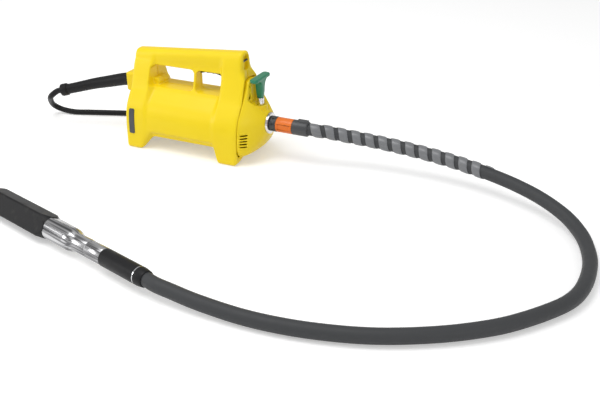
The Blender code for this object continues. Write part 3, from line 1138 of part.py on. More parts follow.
neck = turned("head_neck", [
    (neck_end, BLOCK_BORE - GAP - 0.0005), (neck_end - 0.0005, BLOCK_BORE - GAP),
    (BLOCK_SPAN[0] - GAP, BLOCK_BORE - GAP),
    (BLOCK_SPAN[0] - GAP, NECK_THICK_RADIUS), (NECK_STEP[1], NECK_THICK_RADIUS),
    (NECK_STEP[1] - 0.008, NECK_THICK_RADIUS - 0.0007), (NECK_STEP[0] + 0.008, NECK_THIN_RADIUS + 0.0007),
    (NECK_STEP[0], NECK_THIN_RADIUS), (FITTING_LENGTH + GAP, NECK_THIN_RADIUS),
    (FITTING_LENGTH + GAP, NECK_SPIGOT_RADIUS), (FITTING_LENGTH - 0.020, NECK_SPIGOT_RADIUS),
    (FITTING_LENGTH - 0.020, NECK_BORE), (neck_end, NECK_BORE)], STEEL, closed=True, parent=head_frame)
for number in range(4):
    flat = box("neck_flat_%d" % number, (NECK_STEP[1], -0.03, NECK_FLAT), (neck_end + 0.01, 0.03, 0.04),
               parent=head_frame)
    flat.rotation_euler = (HEAD_ROLL + number * math.pi / 2, 0.0, 0.0)
    cut(neck, flat)


def rounded_square(x, half, corner, count=5):
    """Outline across the head's axis."""
    points = []
    for quarter, (sy, sz) in enumerate(((1, 1), (-1, 1), (-1, -1), (1, -1))):
        for step in range(count):
            turn = math.pi / 2 * (quarter + step / (count - 1))
            points.append((x, sy * (half - corner) + corner * math.cos(turn),
                           sz * (half - corner) + corner * math.sin(turn)))
    return points


block = loft("head_block", [rounded_square(x, BLOCK_SIDE / 2, BLOCK_CORNER) for x in BLOCK_SPAN],
             DARK_STEEL, head_frame)
block.rotation_euler = (HEAD_ROLL, 0.0, 0.0)
combine(block, turned("block_turning", [
    (BLOCK_SPAN[1] + 0.001, 0.0), (BLOCK_SPAN[1] + 0.001, 0.0250), (BLOCK_SPAN[1] - 0.0035, 0.0300),
    (BLOCK_SPAN[0] + 0.024, 0.0300), (BLOCK_SPAN[0] - 0.001, 0.0210), (BLOCK_SPAN[0] - 0.001, 0.0)],
    parent=head_frame, steps=40), "INTERSECT")
bore_end = BLOCK_SPAN[1] - BLOCK_END_WALL
cut(block, rod("block_bore", BLOCK_SPAN[0] - 0.01, bore_end, BLOCK_BORE, parent=head_frame, steps=24))
rod("head_shaft", CORE_IN_HEAD + GAP, bore_end - 0.001, HEAD_SHAFT_RADIUS, STEEL, parent=head_frame)
rear_seat = neck_end + HEAD_BEARING_ROOM[0]
front_seat = bore_end - HEAD_BEARING_ROOM[1] - HEAD_BEARING_WIDTH
for name, start in (("head_bearing_rear", rear_seat), ("head_bearing_front", front_seat)):
    ring(name, start, start + HEAD_BEARING_WIDTH, BLOCK_BORE - GAP, HEAD_SHAFT_RADIUS + GAP, STEEL,
         parent=head_frame)
weight_span = (rear_seat + HEAD_BEARING_WIDTH + WEIGHT_ROOM[0], front_seat - WEIGHT_ROOM[1])
weight = ring("eccentric_weight", *weight_span, WEIGHT_RADIUS, HEAD_SHAFT_RADIUS + GAP, STEEL,
              parent=head_frame, steps=24)
cut(weight, box("weight_side", (weight_span[0] - 0.01, -0.02, 0.0011),
                (weight_span[1] + 0.01, 0.02, 0.03), parent=head_frame))
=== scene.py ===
"""Looks of the concrete vibrator: drive unit, flexible shaft, vibrating head and mains lead.

Metres, +Z up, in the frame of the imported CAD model.  The drive unit's own
measures are taken from the point below its motor that DRIVE_PLACE gives, and
the head's from the joint with its hose.
"""
import math

import bmesh
import bpy
import numpy as np
from mathutils import Matrix, Vector


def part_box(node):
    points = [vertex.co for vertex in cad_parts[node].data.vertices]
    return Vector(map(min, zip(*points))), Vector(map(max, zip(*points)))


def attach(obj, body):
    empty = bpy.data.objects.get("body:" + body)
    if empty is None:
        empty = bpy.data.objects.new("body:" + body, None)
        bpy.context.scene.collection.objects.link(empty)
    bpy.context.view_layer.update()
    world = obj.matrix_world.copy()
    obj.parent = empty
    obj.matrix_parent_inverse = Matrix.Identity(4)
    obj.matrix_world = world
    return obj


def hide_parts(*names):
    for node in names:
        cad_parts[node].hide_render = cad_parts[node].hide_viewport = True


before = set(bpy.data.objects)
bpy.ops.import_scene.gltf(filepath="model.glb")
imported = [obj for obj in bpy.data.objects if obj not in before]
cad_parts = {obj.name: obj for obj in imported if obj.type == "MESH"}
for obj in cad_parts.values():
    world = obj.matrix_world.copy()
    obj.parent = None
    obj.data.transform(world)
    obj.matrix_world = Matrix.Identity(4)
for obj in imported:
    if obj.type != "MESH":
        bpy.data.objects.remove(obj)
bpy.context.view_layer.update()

# ------------------------------------------------------------------ camera
# The photograph is taken from ahead of the nose on the near side, and looks down by
# about 27 degrees.  The lens is a normal one, fitted to the photograph.
DRIVE_PLACE = np.array([0.16166, 0.25443, 0.0])
camera_place = DRIVE_PLACE + (0.8241, -1.5195, 0.7591)
camera_data = bpy.data.cameras.new("camera")
camera_data.lens = 50.0
camera_data.sensor_width = 36.0
camera = bpy.data.objects.new("camera", camera_data)
camera.location = camera_place
camera.rotation_euler = (math.radians(63.0), 0.0, math.radians(24.4))
bpy.context.scene.collection.objects.link(camera)
bpy.context.scene.camera = camera


# ------------------------------------------------------------------ floor and light
# A white floor under a white sky, with one broad lamp above, one to the left and a
# weak one to the right, as in a studio for goods.
class Value:
    """A socket of a material.  + and * on it add Math nodes."""

    def __init__(self, look, socket):
        self.look = look
        self.socket = socket

    def math(self, operation, first, second):
        return self.look.node("ShaderNodeMath", {"operation": operation}, {0: first, 1: second})

    def __add__(self, other):
        return self.math("ADD", self, other)

    def __radd__(self, other):
        return self.math("ADD", other, self)

    def __mul__(self, other):
        return self.math("MULTIPLY", self, other)

    def __rmul__(self, other):
        return self.math("MULTIPLY", other, self)

    def above(self, low, high):
        """0 below low, 1 above high."""
        return self.look.node("ShaderNodeMapRange", {"interpolation_type": "SMOOTHSTEP"},
                              {0: self, 1: low, 2: high, 3: 0.0, 4: 1.0})


class Look:
    """A material round one Principled BSDF."""

    def __init__(self, name, colour, roughness, metallic=0.0, coat=0.0, specular=0.5):
        self.material = bpy.data.materials.new(name)
        self.material.use_nodes = True
        self.tree = self.material.node_tree
        self.shader = self.tree.nodes["Principled BSDF"]
        self.set("Base Color", (*colour, 1.0))
        self.set("Roughness", roughness)
        self.set("Metallic", metallic)
        self.set("Coat Weight", coat)
        self.set("Specular IOR Level", specular)

    def node(self, kind, settings=(), inputs=(), output=0):
        made = self.tree.nodes.new(kind)
        for name, setting in dict(settings).items():
            setattr(made, name, setting)
        for name, value in dict(inputs).items():
            if isinstance(value, Value):
                self.tree.links.new(value.socket, made.inputs[name])
            else:
                made.inputs[name].default_value = value
        return Value(self, made.outputs[output])

    def set(self, name, value):
        if isinstance(value, Value):
            self.tree.links.new(value.socket, self.shader.inputs[name])
        else:
            self.shader.inputs[name].default_value = value

    def place(self, scale=(1.0, 1.0, 1.0), turn=(0.0, 0.0, 0.0)):
        """Object coordinates, turned and then stretched."""
        here = self.node("ShaderNodeTexCoord", output=3)
        turned_here = self.node("ShaderNodeMapping", {}, {"Vector": here, "Rotation": turn})
        return self.node("ShaderNodeVectorMath", {"operation": "MULTIPLY"}, {0: turned_here, 1: scale})

    def noise(self, grain, detail=2.0, scale=(1.0, 1.0, 1.0), turn=(0.0, 0.0, 0.0)):
        """Noise whose lumps are about grain metres across."""
        return self.node("ShaderNodeTexNoise", {},
                         {"Vector": self.place(scale, turn), "Scale": 1.0 / grain, "Detail": detail})

    def mix(self, first, second, share):
        """Colour between two colours."""
        return self.node("ShaderNodeMix", {"data_type": "RGBA"}, {0: share, 6: first, 7: second}, output=2)

    def bump(self, height, depth):
        """Raise the surface by height (0 to 1) times depth in metres."""
        raised = self.node("ShaderNodeBump", {}, {"Height": height, "Distance": depth, "Strength": 1.0})
        self.set("Normal", raised)

    def uneven(self, least, spread, *grain):
        """Roughness from least to least + spread, by noise of that grain."""
        self.set("Roughness", least + self.noise(*grain) * spread)


FLOOR_HALF = 12
FLOOR_GLOW = 0.36       # added where the camera or a mirror sees the floor
SKY_LIGHT = 0.52        # what the pieces get from the sky; the camera sees it at 1
floor_corners = [(FLOOR_HALF * x, FLOOR_HALF * y, 0) for x, y in ((-1, -1), (1, -1), (1, 1), (-1, 1))]
floor_data = bpy.data.meshes.new("floor")
floor_data.from_pydata(floor_corners, [], [(0, 1, 2, 3)])
floor = bpy.data.objects.new("floor", floor_data)
bpy.context.scene.collection.objects.link(floor)
floor_look = Look("white_floor", (0.86, 0.86, 0.86), 0.9, specular=0.1)
seen = floor_look.node("ShaderNodeLightPath")
seen_glossy = Value(floor_look, seen.socket.node.outputs["Is Glossy Ray"])
seen_through = Value(floor_look, seen.socket.node.outputs["Is Transmission Ray"])
floor_look.shader.inputs["Emission Color"].default_value = (1.0, 1.0, 1.0, 1.0)
floor_look.set("Emission Strength", (seen + seen_glossy + seen_through) * FLOOR_GLOW)
floor_data.materials.append(floor_look.material)

world = bpy.data.worlds.new("white_sky")
world.use_nodes = True
sky = world.node_tree.nodes["Background"]
sky.inputs["Color"].default_value = (1.0, 1.0, 1.0, 1.0)
sky_path = world.node_tree.nodes.new("ShaderNodeLightPath")
sky_strength = world.node_tree.nodes.new("ShaderNodeMapRange")
sky_strength.inputs["To Min"].default_value = SKY_LIGHT
world.node_tree.links.new(sky_path.outputs["Is Camera Ray"], sky_strength.inputs["Value"])
world.node_tree.links.new(sky_strength.outputs["Result"], sky.inputs["Strength"])
bpy.context.scene.world = world


def lamp(name, place, aim, size, watts):
    """A square area lamp at place that points to aim."""
    data = bpy.data.lights.new(name, "AREA")
    data.size = size
    data.energy = watts
    made = bpy.data.objects.new(name, data)
    made.location = place
    made.rotation_euler = (Vector(aim) - Vector(place)).to_track_quat("-Z", "Y").to_euler()
    bpy.context.scene.collection.objects.link(made)


lamp("lamp_above", (-0.3, -0.6, 2.6), (0.1, 0.0, 0.1), 1.6, 33.0)
lamp("lamp_left", (-2.4, -1.6, 1.2), (0.0, 0.0, 0.1), 1.2, 18.0)
lamp("lamp_right", (2.4, -1.2, 1.0), (0.1, 0.1, 0.1), 1.2, 7.0)
bpy.context.scene.view_settings.view_transform = "Standard"

# ------------------------------------------------------------------ mains lead
# Round rubber lead.  It bends down from its sleeve to the floor, runs behind the
# drive unit and is wound there into a flat hank, on which its plug lies.
CABLE_RADIUS = 0.00675
LEAD_CLEARANCE = 0.00075
SLEEVE_KNOTS = [(-0.2725, 0, 0.134), (-0.290, 0, 0.134), (-0.312, -0.0005, 0.1310), (-0.352, -0.004, 0.1210),
                (-0.394, -0.010, 0.1110), (-0.434, -0.020, 0.1000), (-0.474, -0.032, 0.0900)]
HANK_CENTRE = (-0.200, 0.170)
HANK_RUN = 0.138
HANK_INNER_RADIUS = 0.0415
HANK_STEP = 0.0155
HANK_LAYER = 0.0145
HANK_FLOOR_Z = CABLE_RADIUS + 0.0002
PLUG_RADIUS = 0.0195
PLUG_LENGTH = 0.062
PLUG_REAR_X = -0.150
PLUG_Y = 0.116
PLUG_Z = HANK_FLOOR_Z + HANK_LAYER + CABLE_RADIUS + PLUG_RADIUS + 0.0005


def smooth_route(knots, spacing):
    """Evenly spaced points on a Catmull-Rom curve: each stretch is the cubic through
    its two knots whose slopes there are half the distance between the knots around."""
    knots = np.array(knots, float)
    ends = np.vstack([2 * knots[0] - knots[1], knots, 2 * knots[-1] - knots[-2]])
    t = np.linspace(0, 1, 24, endpoint=False)[None, :, None]
    a, b, c, d = (ends[i:len(ends) - 3 + i, None, :] for i in range(4))
    curve = b + 0.5 * t * (c - a + t * (2 * a - 5 * b + 4 * c - d + t * (3 * (b - c) + d - a)))
    curve = np.vstack([curve.reshape(-1, 3), knots[-1:]])
    travel = np.r_[0, np.cumsum(np.linalg.norm(np.diff(curve, axis=0), axis=1))]
    at = np.linspace(0, travel[-1], max(2, round(travel[-1] / spacing) + 1))
    return np.column_stack([np.interp(at, travel, curve[:, i]) for i in range(3)])


def length_of(points):
    """Length of the line through the points."""
    return float(np.linalg.norm(np.diff(points, axis=0), axis=1).sum())


def rise(value, start, end):
    """0 before start, 1 after end, and the smooth cubic 3t^2 - 2t^3 between."""
    t = np.clip((value - start) / (end - start), 0, 1)
    return t * t * (3 - 2 * t)


def hank_places(turns):
    """Points on the hank: a track of two straight runs and two half circles, whose
    radius shrinks for two turns on the floor and grows for two on top of them."""
    low = turns < 2.0
    radius = HANK_INNER_RADIUS + HANK_STEP * np.where(low, 2 - turns, np.maximum(0, turns - 2.25))
    z = HANK_FLOOR_Z + HANK_LAYER * rise(turns, 2.0, 2.25)
    bend = np.pi * radius
    at = (turns % 1.0) * 2 * (HANK_RUN + bend)
    half = HANK_RUN / 2
    right = np.clip(at - HANK_RUN, 0, bend) / radius - np.pi / 2
    left = np.clip(at - 2 * HANK_RUN - bend, 0, bend) / radius + np.pi / 2
    on_near = at < HANK_RUN
    on_right = at < HANK_RUN + bend
    on_far = at < 2 * HANK_RUN + bend
    x = np.select([on_near, on_right, on_far],
                  [at - half, half + radius * np.cos(right), half - (at - HANK_RUN - bend)],
                  -half + radius * np.cos(left))
    y = np.select([on_near, on_right, on_far],
                  [-radius, radius * np.sin(right), radius], radius * np.sin(left))
    return np.column_stack([HANK_CENTRE[0] + x, HANK_CENTRE[1] + y, z])


sleeve_route = smooth_route(SLEEVE_KNOTS, 0.012)
sleeve_way = sleeve_route[-1] - sleeve_route[-2]
sleeve_way /= np.linalg.norm(sleeve_way)
lead_start = sleeve_route[-1] + sleeve_way * LEAD_CLEARANCE
near_run_y = HANK_CENTRE[1] - HANK_INNER_RADIUS - 2 * HANK_STEP
LEAD_KNOTS = [lead_start, lead_start + sleeve_way * 0.012, (-0.503, -0.040, 0.073), (-0.535, -0.007, 0.046),
              (-0.548, 0.017, 0.024), (-0.535, 0.030, 0.011), (-0.502, 0.036, HANK_FLOOR_Z),
              (-0.465, 0.049, HANK_FLOOR_Z), (-0.425, 0.064, HANK_FLOOR_Z), (-0.384, 0.079, HANK_FLOOR_Z),
              (-0.345, 0.091, HANK_FLOOR_Z), (-0.305, near_run_y, HANK_FLOOR_Z)]
outer_y_top = HANK_CENTRE[1] - HANK_INNER_RADIUS - 1.75 * HANK_STEP
TAIL_KNOTS = [(PLUG_REAR_X - 0.085, outer_y_top, HANK_FLOOR_Z + HANK_LAYER + 0.0060),
              (PLUG_REAR_X - 0.052, outer_y_top + 0.0035, PLUG_Z - 0.0105),
              (PLUG_REAR_X - 0.024, PLUG_Y - 0.002, PLUG_Z - 0.0010), (PLUG_REAR_X - 0.010, PLUG_Y, PLUG_Z),
              (PLUG_REAR_X - 0.0009, PLUG_Y, PLUG_Z)]
lead_route = smooth_route(np.vstack([LEAD_KNOTS, hank_places(np.linspace(0, 3.995, 96)), TAIL_KNOTS]), 0.005)


def tube_curve(name, route, radius, look):
    """A round cord as one open spline through the route's points."""
    data = bpy.data.curves.new(name, "CURVE")
    data.dimensions = "3D"
    data.bevel_depth = radius
    data.bevel_resolution = 6
    data.use_fill_caps = True
    spline = data.splines.new("POLY")
    spline.points.add(len(route) - 1)
    spline.points.foreach_set("co", np.column_stack([route, np.ones(len(route))]).ravel())
    spline.use_smooth = True
    data.materials.append(look.material)
    made = bpy.data.objects.new(name, data)
    bpy.context.scene.collection.objects.link(made)
    return made


rubber = Look("black_rubber", (0.010, 0.010, 0.011), 0.46, specular=0.22)
rubber.uneven(0.40, 0.16, 0.012)
rubber.bump(rubber.noise(0.0016), 0.00004)
lead = tube_curve("mains_lead", lead_route + DRIVE_PLACE, CABLE_RADIUS, rubber)
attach(lead, "tool")
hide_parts("mains_cable", "mains_hank")


# ------------------------------------------------------------------ plug
# Moulded rubber plug with a ribbed neck, a round body and a shallow hollow in its
# face, made in one piece on the end of the lead.
def skin(name, grid, look, ends=True, sharp=35.0):
    """A surface through a grid of points, rows by columns, that closes round each row.
    The first and last rows get flat ends, and the faces are turned outwards."""
    rows, columns = grid.shape[:2]
    index = np.arange(rows * columns).reshape(rows, columns)
    following = np.roll(index, -1, axis=1)
    quads = np.stack([index[:-1], following[:-1], following[1:], index[1:]], axis=-1).reshape(-1, 4).tolist()
    if ends:
        quads += [index[0][::-1].tolist(), index[-1].tolist()]
    data = bpy.data.meshes.new(name)
    data.from_pydata(grid.reshape(-1, 3).tolist(), [], quads)
    shape = bmesh.new()
    shape.from_mesh(data)
    bmesh.ops.remove_doubles(shape, verts=shape.verts, dist=1e-6)
    bmesh.ops.dissolve_degenerate(shape, edges=shape.edges, dist=1e-7)
    if shape.calc_volume(signed=True) < 0:
        bmesh.ops.reverse_faces(shape, faces=shape.faces)
    shape.to_mesh(data)
    shape.free()
    data.shade_smooth()
    data.set_sharp_from_angle(angle=math.radians(sharp))
    made = bpy.data.objects.new(name, data)
    bpy.context.scene.collection.objects.link(made)
    if look:
        data.materials.append(look.material)
    return made


ALONG_X = np.eye(3)
ALONG_Z = np.array([[0.0, 0.0, 1.0], [1.0, 0.0, 0.0], [0.0, 1.0, 0.0]])
ALONG_Y = np.array([[0.0, 1.0, 0.0], [0.0, 0.0, 1.0], [1.0, 0.0, 0.0]])


def turning(profile, steps=96, closed=False):
    """Points of a turned shape: at each (distance, radius) of the profile, the circle
    (distance, radius cos a, radius sin a)."""
    profile = np.array(profile, float)
    if closed:
        profile = np.vstack([profile, profile[:1]])
    turn = np.linspace(0, 2 * np.pi, steps, endpoint=False)
    along, radius = profile[:, :1], profile[:, 1:]
    return np.stack([along + 0 * turn, radius * np.cos(turn), radius * np.sin(turn)], axis=-1)


def turned(name, profile, look, place, axes=ALONG_X, closed=False, steps=96, edge=0.0):
    """A turned piece: its own axis lies along axes' first row, from place."""
    piece = skin(name, turning(profile, steps, closed) @ axes + np.array(place), look, ends=not closed)
    if edge:
        bevel = piece.modifiers.new("edges", "BEVEL")
        bevel.width = edge
        bevel.segments = 3
        bevel.limit_method = "ANGLE"
        bevel.angle_limit = math.radians(28)
        bevel.harden_normals = False
    return piece


plug_profile = [(0.0, 0.0), (0.0, 0.0088), (0.0015, 0.0094)]
for rib in range(4):
    start = 0.0035 + 0.0052 * rib
    width = 0.0094 + 0.0009 * rib
    plug_profile += [(start, width), (start + 0.0006, width + 0.0009), (start + 0.0032, width + 0.0009),
                     (start + 0.0038, width)]
plug_profile += [(0.026, 0.0165), (0.029, 0.0190), (0.032, PLUG_RADIUS), (0.058, PLUG_RADIUS),
                 (PLUG_LENGTH, PLUG_RADIUS - 0.002), (PLUG_LENGTH, 0.0165), (PLUG_LENGTH - 0.004, 0.0160),
                 (PLUG_LENGTH - 0.004, 0.0)]
plug_place = DRIVE_PLACE + (PLUG_REAR_X, PLUG_Y, PLUG_Z)
plug = turned("plug", plug_profile, rubber, plug_place, edge=0.0004)
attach(plug, "tool")
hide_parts("mains_plug")

# ------------------------------------------------------------------ hose
# Rubber hose round the turning core.  It leaves the coupling's tail straight,
# drops to the floor in a wide bend and comes back to the head's fitting.
HOSE_RADIUS = 0.013
TAIL_END = 0.156
AXIS_Z = 0.083
HOSE_START_X = 0.1243
HOSE_IN_FITTING = 0.020
HEAD_HEADING = math.radians(180 - 16.3)
HEAD_ROLL = math.radians(27)
BLOCK_HALF = 0.021
BLOCK_CORNER = 0.004
BLOCK_FLAT_HALF = BLOCK_HALF - BLOCK_CORNER
HEAD_Z = BLOCK_FLAT_HALF * (math.cos(HEAD_ROLL) + math.sin(HEAD_ROLL)) + BLOCK_CORNER
HEAD_PLACE = np.array([0.121, -0.574, HEAD_Z])
HOSE_KNOTS = [
    (TAIL_END + 0.001, 0.0, AXIS_Z), (0.175, 0.003, 0.0820), (0.197, 0.010, 0.0795),
    (0.224, 0.017, 0.0755), (0.262, 0.025, 0.0710),
    (0.304, 0.030, 0.0675), (0.345, 0.033, 0.0640), (0.386, 0.034, 0.0605), (0.428, 0.033, 0.0570),
    (0.470, 0.029, 0.0535), (0.506, 0.023, 0.0505), (0.539, 0.015, 0.0480), (0.600, -0.006, 0.0435),
    (0.656, -0.032, 0.0370), (0.707, -0.067, 0.0280), (0.741, -0.106, 0.0190), (0.760, -0.150, 0.0160),
    (0.772, -0.205, 0.0152), (0.773, -0.270, 0.0152), (0.762, -0.325, 0.0152), (0.734, -0.375, 0.0152),
    (0.681, -0.439, 0.0152), (0.624, -0.486, 0.0152), (0.566, -0.522, 0.0152), (0.505, -0.551, 0.0152),
    (0.441, -0.571, 0.0152), (0.373, -0.584, 0.0152), (0.301, -0.589, 0.0157), (0.224, -0.587, 0.0190),
    (0.170, -0.582, 0.0228), (0.142, -0.5795, 0.0252), tuple(HEAD_PLACE)]
head_way = np.array([math.cos(HEAD_HEADING), math.sin(HEAD_HEADING), 0.0])
hose_start = np.array([HOSE_START_X, 0.0, AXIS_Z])
hose_route = np.vstack([hose_start, smooth_route(HOSE_KNOTS, 0.006), HEAD_PLACE + head_way * HOSE_IN_FITTING])
hose_rubber = Look("hose_rubber", (0.054, 0.056, 0.059), 0.55, specular=0.3)
hose_rubber.uneven(0.46, 0.20, 0.010)
hose_rubber.bump(hose_rubber.noise(0.0020, 3.0), 0.00006)
hose = tube_curve("shaft_hose", hose_route + DRIVE_PLACE, HOSE_RADIUS, hose_rubber)
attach(hose, "tool")
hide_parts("hose")

# ------------------------------------------------------------------ spiral guard
# Strip of grey plastic wound round the first part of the hose, a band and a gap
# in turn, so that the hose doesn't kink at the coupling.
GUARD_PITCH = 0.0295
GUARD_BAND = 0.0190
GUARD_START = 0.1575
GUARD_TURNS = 13
GUARD_BORE = 0.0134
GUARD_THICKNESS = 0.0017
GUARD_TURN_ROWS = 44
route_travel = np.r_[0, np.cumsum(np.linalg.norm(np.diff(hose_route, axis=0), axis=1))] + HOSE_START_X


def beside_route(travel, radius, turn):
    """Points at a radius and an angle round the hose, at distances from the motor:
    centre + radius (cos a up + sin a side), where side is level and up square to it."""
    at = lambda where: np.stack([np.interp(where, route_travel, hose_route[:, i]) for i in range(3)], axis=-1)
    way = at(travel + 0.004) - at(travel - 0.004)
    side = np.cross(way, [0.0, 0.0, 1.0])
    side /= np.linalg.norm(side, axis=-1, keepdims=True)
    up = np.cross(side, way)
    up /= np.linalg.norm(up, axis=-1, keepdims=True)
    return at(travel) + radius[..., None] * (np.cos(turn)[..., None] * up + np.sin(turn)[..., None] * side)


wound = np.linspace(0, GUARD_TURNS, GUARD_TURNS * GUARD_TURN_ROWS + 1)[:, None]
across = np.linspace(0, 1, 9)
crown = GUARD_BORE + GUARD_THICKNESS * (0.45 + 0.55 * np.sqrt(np.sin(np.pi * across)))
section_across = np.r_[across, across[::-1]][None, :]
section_radius = np.r_[crown, np.full(9, GUARD_BORE)][None, :] + 0 * wound
guard_travel = GUARD_START + GUARD_PITCH * wound + GUARD_BAND * section_across
guard_grid = beside_route(guard_travel, section_radius, 2 * np.pi * wound + 0 * guard_travel)
guard_grey = Look("guard_plastic", (0.20, 0.205, 0.215), 0.32)
guard_grey.uneven(0.26, 0.12, 0.02)
guard_grey.bump(guard_grey.noise(0.0012), 0.00003)
guard = skin("spiral_strip", guard_grid + DRIVE_PLACE, guard_grey, sharp=50.0)
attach(guard, "tool")
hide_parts("spiral_guard")

# ------------------------------------------------------------------ shaft coupling
# Sleeve with a dimpled dark grey collar, an orange band of plastic with a flat panel
# for a label, and a dark grey moulded tail that grips the hose.
axis_place = DRIVE_PLACE + (0.0, 0.0, AXIS_Z)
collar_grey = Look("collar_plastic", (0.060, 0.062, 0.066), 0.40)
collar_grey.uneven(0.33, 0.14, 0.01)
COLLAR_RADIUS = 0.0168
COLLAR_GROOVE = COLLAR_RADIUS - 0.0006
COLLAR_EDGE = COLLAR_RADIUS - 0.0004
DIMPLES = 8
DIMPLE_X = 0.0745
DIMPLE_RADIUS = 0.0022
DIMPLE_DEPTH = 0.0022
collar_profile = [
    (0.0820, COLLAR_EDGE), (0.0816, COLLAR_RADIUS), (0.0800, COLLAR_RADIUS), (0.0797, COLLAR_GROOVE),
    (0.0790, COLLAR_GROOVE), (0.0787, COLLAR_RADIUS), (0.0702, COLLAR_RADIUS), (0.0699, COLLAR_GROOVE),
    (0.0692, COLLAR_GROOVE), (0.0689, COLLAR_RADIUS), (0.0682, COLLAR_RADIUS), (0.0678, COLLAR_EDGE),
    (0.0678, 0.0152), (0.0450, 0.0152), (0.0450, 0.0127), (0.0370, 0.0127), (0.0370, 0.0152),
    (0.0310, 0.0152), (0.0300, 0.0142), (0.0300, 0.0119), (0.0665, 0.0119), (0.0665, 0.0090),
    (0.1236, 0.0090), (0.1236, 0.0115), (0.0820, 0.0115)]
collar = turned("collar", collar_profile, collar_grey, axis_place, closed=True)


def carve(piece, cutters, operation="DIFFERENCE", voxel=0.0, smoothing=0, bevel=0.0, keep_looks=False):
    """Booleans of a piece with cutters, then one even mesh of voxels with its edges
    rubbed round, or bevelled edges, worked into the piece's own mesh."""
    for cutter in cutters:
        step = piece.modifiers.new(cutter.name, "BOOLEAN")
        step.operation = operation
        step.solver = "EXACT"
        step.object = cutter
    if voxel:
        remesh = piece.modifiers.new("even_mesh", "REMESH")
        remesh.mode = "VOXEL"
        remesh.voxel_size = voxel
        remesh.use_smooth_shade = True
        rub = piece.modifiers.new("rub", "SMOOTH")
        rub.factor = 0.5
        rub.iterations = smoothing
    if bevel:
        edge = piece.modifiers.new("edges", "BEVEL")
        edge.width = bevel
        edge.segments = 2
        edge.limit_method = "ANGLE"
        edge.angle_limit = math.radians(40)
    looks = list(piece.data.materials)
    state = bpy.context.evaluated_depsgraph_get()
    data = bpy.data.meshes.new_from_object(piece.evaluated_get(state), depsgraph=state)
    piece.modifiers.clear()
    data.materials.clear()
    for look in looks:
        data.materials.append(look)
    if not keep_looks:
        data.polygons.foreach_set("material_index", np.zeros(len(data.polygons), np.int32))
    piece.data = data
    if not voxel:
        data.shade_smooth()
        data.set_sharp_from_angle(angle=math.radians(32))
    for cutter in cutters:
        bpy.data.objects.remove(cutter, do_unlink=True)


def bar(name, start, end, radius, place, axes=ALONG_X, steps=40):
    """A plain round bar, as a cutter."""
    profile = [(start, 0.0), (start, radius), (end, radius), (end, 0.0)]
    return turned(name, profile, None, place, axes, steps=steps)


dimples = []
for number in range(DIMPLES):
    angle = 2 * math.pi * (number + 0.3) / DIMPLES
    out = np.array([0.0, math.sin(angle), math.cos(angle)])
    axes = np.array([out, np.cross(out, [1.0, 0.0, 0.0]), [1.0, 0.0, 0.0]])
    dimples.append(bar("dimple_%d" % number, COLLAR_RADIUS - DIMPLE_DEPTH, COLLAR_RADIUS + 0.004,
                       DIMPLE_RADIUS, axis_place + (DIMPLE_X, 0.0, 0.0), axes, steps=20))
carve(collar, dimples)
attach(collar, "tool")
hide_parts("coupling_collar")

orange = Look("orange_plastic", (0.85, 0.19, 0.018), 0.36, coat=0.1, specular=0.4)
orange.uneven(0.32, 0.12, 0.008)
BAND_RADIUS = 0.0164
band = turned("orange_band", [(0.1200, BAND_RADIUS - 0.0006), (0.1194, BAND_RADIUS), (0.0829, BAND_RADIUS),
                              (0.0823, BAND_RADIUS - 0.0006), (0.0823, 0.0118), (0.1200, 0.0118)],
              orange, axis_place, closed=True)


def block(name, low, high, round_by=0.0, look=None, segments=4):
    """A block between two corners of the drive unit, with round edges."""
    shape = bmesh.new()
    low, high = np.array(low, float), np.array(high, float)
    bmesh.ops.create_cube(shape, size=1.0)
    bmesh.ops.scale(shape, vec=tuple(high - low), verts=shape.verts)
    bmesh.ops.translate(shape, vec=tuple((low + high) / 2 + DRIVE_PLACE), verts=shape.verts)
    if round_by:
        bmesh.ops.bevel(shape, geom=shape.edges[:], offset=round_by, segments=segments,
                        profile=0.5, affect="EDGES")
    data = bpy.data.meshes.new(name)
    shape.to_mesh(data)
    shape.free()
    data.shade_smooth()
    data.set_sharp_from_angle(angle=math.radians(32))
    if look:
        data.materials.append(look.material)
    made = bpy.data.objects.new(name, data)
    bpy.context.scene.collection.objects.link(made)
    return made


PANEL_X = (0.087, 0.1145)
PANEL_HALF = 0.0062
PANEL_DEPTH = 0.0020
carve(band, [block("band_panel", (PANEL_X[0], -0.03, AXIS_Z - PANEL_HALF),
                   (PANEL_X[1], -BAND_RADIUS + PANEL_DEPTH, AXIS_Z + PANEL_HALF))], bevel=0.0003)
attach(band, "tool")
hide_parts("coupling_band")

TAIL_RADIUS = 0.0165
tail = turned("hose_tail", [
    (TAIL_END, TAIL_RADIUS - 0.0022), (TAIL_END - 0.0010, TAIL_RADIUS - 0.0008),
    (TAIL_END - 0.0026, TAIL_RADIUS), (0.1210, TAIL_RADIUS), (0.1203, TAIL_RADIUS - 0.0007), (0.1203, 0.0118),
    (0.1240, 0.0118), (0.1240, 0.0133), (TAIL_END, 0.0133)], collar_grey, axis_place, closed=True)
tab = block("tail_tab", (0.130, -0.006, AXIS_Z + TAIL_RADIUS - 0.0020),
            (TAIL_END - 0.002, 0.006, AXIS_Z + TAIL_RADIUS + 0.0022), 0.0010)
carve(tail, [tab], "UNION")
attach(tail, "tool")
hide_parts("coupling_tail")

